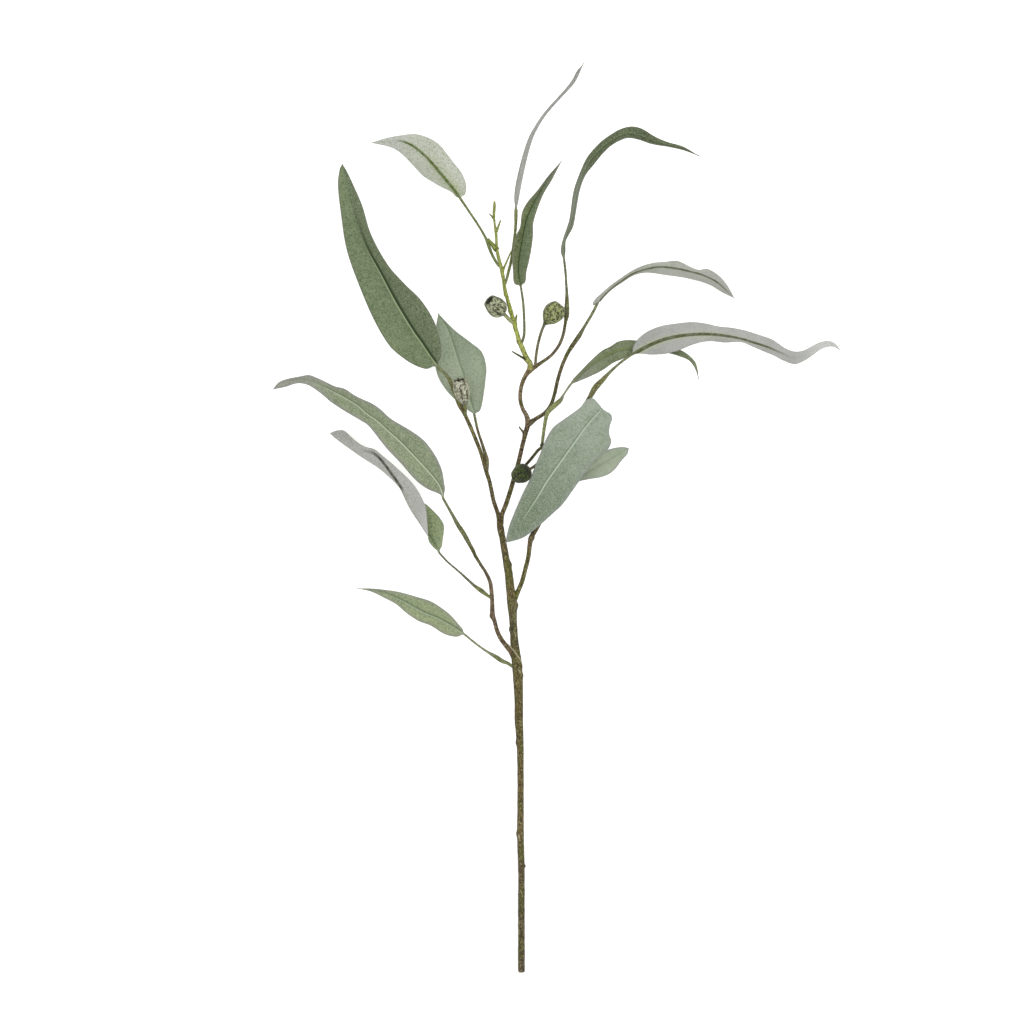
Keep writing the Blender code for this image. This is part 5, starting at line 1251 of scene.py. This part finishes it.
looks = {
    "leaf_upper_left": plainLook
    | {
        "green": (116, 134, 96),
        "greenDark": (98, 116, 80),
        "greenPale": (142, 156, 118),
        "greenRib": (178, 192, 150),
        "ribWidth": 1.0,
        "rightHalfShadeAndTone": 0.6,
        "ribShadow": 1.0,
        "shadowWidth": 2.4,
        "speck": 0.35,
        "mottle": 0.4,
        "flecks": 0.35,
        "ribStrength": 0.95,
        "deep": (58, 74, 44),
        "rim": (122, 116, 112),
        "rimWidth": 1.6,
        "bloom": (166, 174, 142),
        "sleeveShare": 0.7,
        "sleeve": (132, 134, 78),
        "sleeveDark": (96, 98, 52),
    },
    "leaf_centre_left": blueGreenLook
    | {
        "green": (162, 176, 151),
        "greenDark": (150, 164, 138),
        "greenPale": (174, 186, 162),
        "right": (140, 155, 131),
        "ribWidth": 1.0,
        "ribStrength": 0.9,
        "rightHalfShadeAndTone": 0.35,
        "tip": (190, 200, 176),
        "tipFrom": 66.0,
        "tipTo": 30.0,
        "tipStrength": 0.7,
        "rim": (122, 136, 114),
        "rimWidth": 6.0,
        "rimStrength": 0.4,
        "speck": 0.35,
        "ribEnds": 95.0,
        "sleeveShare": 0.8,
        "sleeve": (126, 106, 74),
        "sleeveDark": (82, 66, 44),
    },
    "leaf_top_centre": plainLook
    | {
        "green": (96, 110, 66),
        "greenDark": (80, 92, 50),
        "greenPale": (120, 130, 88),
        "right": (112, 130, 102),
        "rightHalfShadeAndTone": 0.5,
        "rim": (140, 132, 122),
        "rimWidth": 1.8,
        "speck": 0.35,
        "mottle": 0.4,
        "flecks": 0.35,
        "rimStrength": 0.6,
        "tip": (122, 119, 112),
        "tipFrom": 70.0,
        "tipTo": 110.0,
        "tipStrength": 0.9,
        "greenRib": (66, 88, 34),
        "ribWidth": 1.0,
        "ribStrength": 0.9,
        "ribShadow": 0.0,
        "ribEnds": 115.0,
        "stalk": (116, 120, 88),
    },
    "leaf_top_left": plainLook
    | {
        "pale": (206, 210, 196),
        "paleDark": (194, 198, 184),
        "paleVein": (142, 156, 112),
        "paleWarm": (166, 178, 122),
        "paleGlow": 1.0,
        "glowWidth": 11.0,
        "paleRib": (90, 108, 44),
        "paleRibWidth": 1.9,
        "paleTip": (202, 203, 200),
        "paleTipStrength": 0.9,
        "tipFrom": 62.0,
        "tipTo": 82.0,
        "ribEnds": 86.0,
        "paleSpeck": 0.65,
        "stalk": (124, 140, 80),
        "stalkDark": (98, 114, 56),
    },
    "leaf_top": plainLook
    | {
        "green": (164, 164, 156),
        "greenDark": (144, 145, 134),
        "greenPale": (180, 181, 174),
        "deep": (116, 118, 104),
        "bloom": (206, 208, 202),
        "vein": (168, 170, 160),
        "rim": (120, 122, 106),
        "rimStrength": 0.8,
        "tip": (138, 138, 135),
        "tipFrom": 20.0,
        "tipTo": 70.0,
        "tipStrength": 0.7,
        "pale": (180, 182, 174),
        "ribStrength": 0.0,
        "ribShadow": 0.0,
        "stalk": (140, 152, 84),
        "stalkDark": (112, 122, 62),
    },
    "leaf_arching": plainLook
    | {
        "green": (76, 88, 60),
        "greenDark": (60, 72, 46),
        "greenPale": (98, 110, 80),
        "deep": (50, 60, 36),
        "rim": (120, 118, 108),
        "rimWidth": 1.6,
        "speck": 0.35,
        "mottle": 0.4,
        "flecks": 0.35,
        "tip": (128, 132, 122),
        "tipFrom": 100.0,
        "tipTo": 60.0,
        "tipStrength": 0.75,
        "ribEnds": 240.0,
        "ribStrength": 0.25,
        "stalk": (110, 116, 84),
        "stalkDark": (84, 90, 60),
        "sleeveShare": 0.35,
        "sleeve": (112, 116, 66),
        "sleeveDark": (78, 82, 40),
    },
    "leaf_right_upper": plainLook
    | {
        "paleRib": (92, 96, 66),
        "paleRibWidth": 1.25,
        "paleWarm": (158, 166, 138),
        "pale": (186, 187, 180),
        "paleDark": (170, 172, 163),
        "paleSpeck": 0.25,
        "paleTip": (170, 170, 166),
        "paleTipStrength": 0.7,
        "tipFrom": 70.0,
        "tipTo": 120.0,
        "sleeveShare": 0.35,
        "sleeve": (92, 88, 52),
        "sleeveDark": (64, 60, 34),
        "stalk": (136, 142, 104),
    },
    "leaf_right_large": plainLook
    | {
        "pale": (184, 184, 182),
        "paleDark": (170, 171, 168),
        "paleSpeck": 0.22,
        "paleWarm": (190, 197, 146),
        "paleGlow": 0.8,
        "glowWidth": 6.0,
        "paleTip": (214, 215, 212),
        "paleTipStrength": 1.0,
        "tipFrom": 150.0,
        "tipTo": 185.0,
        "ribEnds": 156.0,
        "paleRib": (80, 88, 48),
        "paleRibWidth": 2.0,
        "sleeveShare": 0.5,
        "sleeve": (126, 126, 66),
        "sleeveDark": (92, 82, 48),
    },
    "leaf_right_back": plainLook
    | {
        "green": (126, 136, 102),
        "greenDark": (108, 120, 86),
        "greenPale": (146, 155, 123),
        "greenRib": (134, 148, 76),
        "ribWidth": 1.1,
        "ribStrength": 0.6,
        "ribShadow": 0.3,
        "tip": (146, 146, 140),
        "tipFrom": 45.0,
        "tipTo": 5.0,
        "tipStrength": 0.9,
        "ribEnds": 110.0,
        "speck": 0.35,
        "sleeveShare": 0.74,
        "sleeve": (170, 178, 116),
        "sleeveDark": (126, 134, 80),
        "stalk": (150, 154, 134),
        "stalkDark": (124, 128, 108),
    },
    "leaf_front": blueGreenLook
    | {
        "green": (164, 174, 159),
        "greenDark": (140, 155, 134),
        "greenPale": (177, 187, 171),
        "greenRib": (196, 214, 188),
        "ribWidth": 0.95,
        "veinStrength": 0.4,
        "tip": (98, 118, 90),
        "tipFrom": 20.0,
        "tipTo": 120.0,
        "tipStrength": 0.75,
        "rim": (160, 164, 162),
        "rimStrength": 0.4,
        "rimWidth": 6.0,
        "speck": 0.36,
        "flecks": 0.3,
        "mottle": 0.45,
        "ribEnds": 135.0,
        "ribStrength": 1.0,
        "stalk": (156, 166, 148),
        "stalkDark": (144, 154, 134),
        "stalkFleck": (176, 184, 164),
        "stalkDeepAndShade": (126, 138, 118),
    },
    "leaf_front_back": blueGreenLook
    | {
        "green": (176, 187, 163),
        "greenDark": (165, 177, 153),
        "greenPale": (188, 197, 175),
        "deep": (128, 140, 112),
        "rim": (156, 156, 160),
        "rimWidth": 3.0,
        "ribStrength": 0.3,
        "ribShadow": 0.1,
        "speck": 0.2,
        "flecks": 0.15,
        "ribEnds": 60.0,
    },
    "leaf_left_long": blueGreenLook
    | {
        "green": (142, 156, 126),
        "greenDark": (124, 138, 108),
        "greenPale": (160, 172, 140),
        "greenRib": (206, 216, 190),
        "ribWidth": 0.85,
        "ribStrength": 1.0,
        "bloom": (182, 189, 154),
        "speck": 0.48,
        "deep": (92, 106, 74),
        "rim": (152, 150, 148),
        "rimWidth": 4.0,
        "rimStrength": 0.7,
        "tip": (170, 171, 166),
        "tipFrom": 130.0,
        "tipTo": 170.0,
        "tipStrength": 0.9,
        "ribEnds": 180.0,
        "rightHalfShadeAndTone": 0.2,
        "sleeveShare": 0.5,
        "sleeve": (112, 116, 62),
        "sleeveDark": (76, 80, 40),
        "stalk": (122, 128, 90),
    },
    "leaf_left_twisted": blueGreenLook
    | {
        "green": (150, 165, 124),
        "greenDark": (134, 149, 110),
        "bloom": (190, 200, 146),
        "pale": (197, 196, 197),
        "paleDark": (182, 181, 180),
        "paleVein": (146, 150, 128),
        "paleRib": (74, 80, 62),
        "paleRibWidth": 2.6,
        "paleTip": (168, 168, 165),
        "paleTipStrength": 0.8,
        "tipFrom": 100.0,
        "tipTo": 140.0,
        "paleSpeck": 0.5,
        "paleGlow": 0.2,
        "ribFrom": 68.0,
        "ribEnds": 122.0,
        "ribStrength": 0.5,
        "sleeveShare": 0.34,
        "sleeve": (138, 142, 76),
        "sleeveDark": (92, 96, 52),
        "stalk": (112, 118, 98),
        "stalkDark": (88, 94, 74),
    },
    "leaf_left_low": blueGreenLook
    | {
        "green": (154, 168, 130),
        "greenDark": (138, 152, 116),
        "greenPale": (170, 181, 146),
        "bloom": (192, 202, 150),
        "flecks": 0.55,
        "rim": (150, 148, 142),
        "rimWidth": 4.0,
        "rimStrength": 0.6,
        "ribShadow": 0.6,
        "ribWidth": 0.95,
        "ribEnds": 95.0,
        "sleeveShare": 0.42,
        "sleeve": (144, 152, 98),
        "sleeveDark": (102, 110, 62),
        "stalk": (148, 158, 126),
        "stalkDark": (124, 134, 102),
    },
}
barkLook = {
    "dark": (58, 50, 22),
    "streakiness": 0.7,
    "warm": (112, 88, 50),
    "blotchiness": 0.35,
    "moss": (90, 98, 18),
    "mossy": 0.7,
    "fleck": (182, 172, 120),
    "fleckiness": 0.8,
    "poreAndShade": (38, 30, 10),
    "poriness": 0.85,
    # painted shade at the sides of the wood
    "edges": 0.95,
    "torn": (196, 190, 156),
    "tornness": 0.85,
    "bump": 0.35,
    "gloss": 0.3,
}
limeLook = barkLook | {
    "dark": (140, 150, 56),
    "warm": (176, 176, 100),
    "moss": (164, 180, 62),
    "mossy": 0.4,
    "fleck": (224, 228, 156),
    "fleckiness": 0.7,
    "poreAndShade": (104, 112, 46),
    # painted shade at the sides of the lime twig
    "edges": 0.7,
    "torn": (200, 204, 150),
}
# Paint along each branch: share of its length and colour
woodPaint = {
    "main": (
        (0, (116, 98, 76)), (0.08, (122, 104, 78)), (0.16, (106, 94, 70)), (0.24, (112, 98, 66)),
        (0.31, (142, 124, 72)), (0.45, (132, 112, 62)), (0.58, (124, 108, 56)), (0.66, (134, 126, 62)),
        (0.74, (112, 110, 66)), (0.79, (116, 114, 74)), (0.84, (156, 144, 82)), (0.92, (128, 116, 68)),
        (1, (118, 96, 60)),
    ),
    "left_twig": ((0, (104, 92, 62)), (0.35, (104, 94, 62)), (0.55, (138, 126, 76)), (1, (146, 146, 84))),
    "right_twig": (
        (0, (114, 88, 68)), (0.3, (106, 80, 64)), (0.42, (140, 114, 92)), (0.5, (190, 162, 138)),
        (0.6, (180, 152, 126)), (0.68, (182, 152, 112)), (0.78, (150, 138, 116)), (1, (144, 140, 114)),
    ),
    "right_spray": ((0, (116, 104, 78)), (0.4, (100, 94, 68)), (0.8, (130, 124, 88)), (1, (104, 92, 58))),
    "right_branch": (
        (0, (170, 166, 84)), (0.1, (172, 152, 112)), (0.26, (150, 126, 98)), (0.34, (104, 98, 58)),
        (0.42, (140, 118, 96)), (1, (84, 66, 50)),
    ),
    "left_branch": (
        (0, (138, 118, 88)), (0.2, (140, 116, 92)), (0.5, (144, 118, 98)), (0.6, (158, 134, 114)),
        (0.8, (124, 118, 94)), (1, (112, 114, 82)),
    ),
    "centre_twig": ((0, (86, 74, 52)), (0.5, (84, 78, 52)), (1, (110, 106, 66))),
}
spurPaint = ((0, (110, 104, 66)), (1, (128, 124, 82)))
limePaint = (
    (0, (184, 166, 116)), (0.06, (194, 196, 108)), (0.3, (196, 208, 92)), (0.55, (186, 198, 94)),
    (0.75, (172, 182, 98)), (0.88, (158, 166, 104)), (1, (142, 146, 104)),
)
limeSpurPaint = (
    ((0, (176, 178, 96)), (1, (136, 134, 98))),
    ((0, (160, 172, 78)), (1, (134, 144, 84))),
    ((0, (158, 168, 84)), (1, (138, 146, 84))),
    ((0, (148, 158, 84)), (1, (140, 144, 108))),
    ((0, (144, 152, 84)), (1, (128, 132, 92))),
    ((0, (120, 150, 30)), (1, (140, 160, 70))),
)
gumnutChanges = {
    "gumnut_left": {
        "radius": 7.2,
        "ribDepth": 0.1,
        "skin": (190, 190, 162),
        "groove": (54, 52, 26),
        "edgeShade": (150, 152, 122),
        "frost": (236, 236, 218),
        "frostiness": 0.8,
        "mottled": 0.7,
        "tooth": 1.4,
        "stalk": (126, 128, 72),
        "mouthOutline": [(1.0, 0.88), (1.01, 0.72), (0.97, 0.62), (0.9, 0.5), (0.86, 0.16)],
        "outside": [
            (0.0, 0.24), (0.05, 0.42), (0.14, 0.62), (0.3, 0.86),
            (0.52, 1.0), (0.74, 0.99), (0.88, 0.93), (0.96, 0.95),
        ],
    },
    "gumnut_top": {"stalk": (170, 174, 124), "stalkDark": (118, 122, 82), "stalkRadius": 1.7},
    "gumnut_right": {
        "radius": 9.2,
        "skin": (166, 174, 104),
        "groove": (46, 54, 18),
        "frost": (186, 192, 140),
        "fleck": (208, 214, 154),
        "edgeShade": (76, 80, 60),
        "outside": [
            (0.0, 0.17), (0.06, 0.26), (0.16, 0.5), (0.32, 0.82),
            (0.52, 1.0), (0.72, 0.98), (0.86, 0.85), (0.96, 0.66),
        ],
        "mouthOutline": [(1.0, 0.55), (1.0, 0.46), (0.97, 0.38), (0.9, 0.3), (0.86, 0.1)],
    },
    "gumnut_centre": {
        "radius": 8.5,
        "skin": (66, 92, 8),
        "groove": (0, 4, 0),
        "frost": (118, 130, 60),
        "frostiness": 0.55,
        "edgeShade": (66, 68, 50),
        "fleck": (126, 130, 92),
        "fleckiness": 0.3,
        "mottled": 0.9,
        "stalk": (86, 80, 56),
        "stalkDark": (60, 56, 38),
    },
}
gumnutLook = {
    "radius": 8.7,
    "stalkRadius": 1.25,
    "ribs": 8,
    "ribDepth": 0.015,
    "tooth": 0.1,
    "outside": [
        (0.0, 0.2), (0.04, 0.42), (0.13, 0.72), (0.28, 0.93), (0.46, 1.0),
        (0.66, 0.95), (0.8, 0.84), (0.9, 0.77), (0.96, 0.74),
    ],
    "mouthOutline": [(1.0, 0.68), (1.0, 0.58), (0.96, 0.5), (0.9, 0.42), (0.84, 0.12)],
    "skin": (196, 200, 158),
    "groove": (42, 48, 18),
    "edgeShade": (96, 100, 78),
    "mottled": 0.95,
    "frost": (218, 222, 184),
    "frostiness": 0.85,
    "fleck": (224, 226, 190),
    "fleckiness": 0.6,
    "mouth": (34, 36, 22),
    "stalk": (124, 120, 88),
    "stalkDark": (90, 86, 60),
    "bump": 0.25,
    "gloss": 0.25,
}

for name, shape in leafShapes.items():
    look = looks[name]
    leafPiece(name, shape, look, leafMaterial(name, look))
    print("made", name)

bark = barkMaterial("bark_look", barkLook)
wood, layers = newBody(("facing", "torn"), vectors=("grainMm", "paint"))
knotsOf = {}
for name, *knot in woodKnots:
    knotsOf.setdefault(name, []).append(knot)
for number, (name, points) in enumerate(woodPoints.items()):
    isMain = name == "main"
    if not isMain:
        points = reachingStalk(points, leafShapes[carriedLeaf[name]]["stalk"])
    knots, paint = knotsOf.get(name, ()), woodPaint[name]
    seed = firstSeed["branch"] + number
    woodSkin(wood, layers, points, seed, paint, knots=knots, collar=not isMain, cutEnd=isMain)
for number, ends in enumerate(woodSpurs):
    woodSkin(wood, layers, spurPoints(*ends), firstSeed["spur"] + number, spurPaint, spurChanges)
for number, points in enumerate(tornStrips):
    seed = firstSeed["strip"] + number
    woodSkin(wood, layers, points, seed, spurPaint, spurChanges, collar=False, torn=1.0)
finishedPiece(wood, bark, "stem")
print("made the wood")

lime = barkMaterial("lime_look", limeLook)
twig, layers = newBody(("facing", "torn"), vectors=("grainMm", "paint"))
inWood = stalkInWood("flowering_twig", limeTwigPoints)
woodSkin(twig, layers, inWood, firstSeed["limeTwig"], limePaint, limeChanges, limeKnots)
for number, (ends, paint) in enumerate(zip(limeSpurs, limeSpurPaint)):
    woodSkin(twig, layers, spurPoints(*ends), firstSeed["limeSpur"] + number, paint, spurChanges)
finishedPiece(twig, lime, "flowering_twig")
print("made the lime twig")

for name, points in gumnutPoints.items():
    look = gumnutLook | gumnutChanges.get(name, {})
    gumnutPiece(name, points, look, gumnutMaterial(name, look))
print("made the gumnuts")

# The floor glows a little, so that it shows white and without shadows, as in the picture
stageLook = {"floor": 0.85, "floorGlow": 0.45, "floorHalfSize": 20, "world": 1.15}
keyLight = {"place": (1.5, 1.5, 2.6), "size": 1.6, "power": 22.0}
viewSettings = {"lens": 300, "sensor": 36, "middle": (-0.0394, 0.0055), "height": 0.02, "width": 0.9011}


def addFloor():
    body = bmesh.new()
    bmesh.ops.create_grid(body, x_segments=2, y_segments=2, size=stageLook["floorHalfSize"])
    mesh = bpy.data.meshes.new("floor")
    body.to_mesh(mesh)
    body.free()
    material, _, surface = newMaterial("floor")
    surface.inputs["Base Color"].default_value = (*[stageLook["floor"]] * 3, 1.0)
    surface.inputs["Emission Color"].default_value = (1, 1, 1, 1)
    surface.inputs["Emission Strength"].default_value = stageLook["floorGlow"]
    surface.inputs["Roughness"].default_value = 0.9
    surface.inputs["Specular IOR Level"].default_value = 0.0
    mesh.materials.append(material)
    floor = bpy.data.objects.new("floor", mesh)
    bpy.context.scene.collection.objects.link(floor)


def addWorld():
    world = bpy.data.worlds.new("studio")
    world.use_nodes = True
    background = world.node_tree.nodes["Background"]
    background.inputs["Color"].default_value = (1, 1, 1, 1)
    background.inputs["Strength"].default_value = stageLook["world"]
    bpy.context.scene.world = world


def addKeyLight():
    light = bpy.data.lights.new("key", "AREA")
    light.shape = "DISK"
    light.size = keyLight["size"]
    light.energy = keyLight["power"]
    lamp = bpy.data.objects.new("key", light)
    lamp.location = keyLight["place"]
    lamp.rotation_euler = (-Vector(keyLight["place"])).to_track_quat("-Z", "Y").to_euler()
    bpy.context.scene.collection.objects.link(lamp)


# A long lens straight above, far enough away for the picture's width to fit
def addCamera():
    v = viewSettings
    camera = bpy.data.cameras.new("camera")
    camera.lens = v["lens"]
    camera.sensor_width = v["sensor"]
    camera.clip_start = 0.1
    camera.clip_end = 60
    viewer = bpy.data.objects.new("camera", camera)
    viewer.location = (*v["middle"], v["height"] + v["width"] * v["lens"] / v["sensor"])
    bpy.context.scene.collection.objects.link(viewer)
    bpy.context.scene.camera = viewer
    bpy.context.scene.view_settings.view_transform = "Standard"


addFloor()
addWorld()
addKeyLight()
addCamera()
print("made the stage")
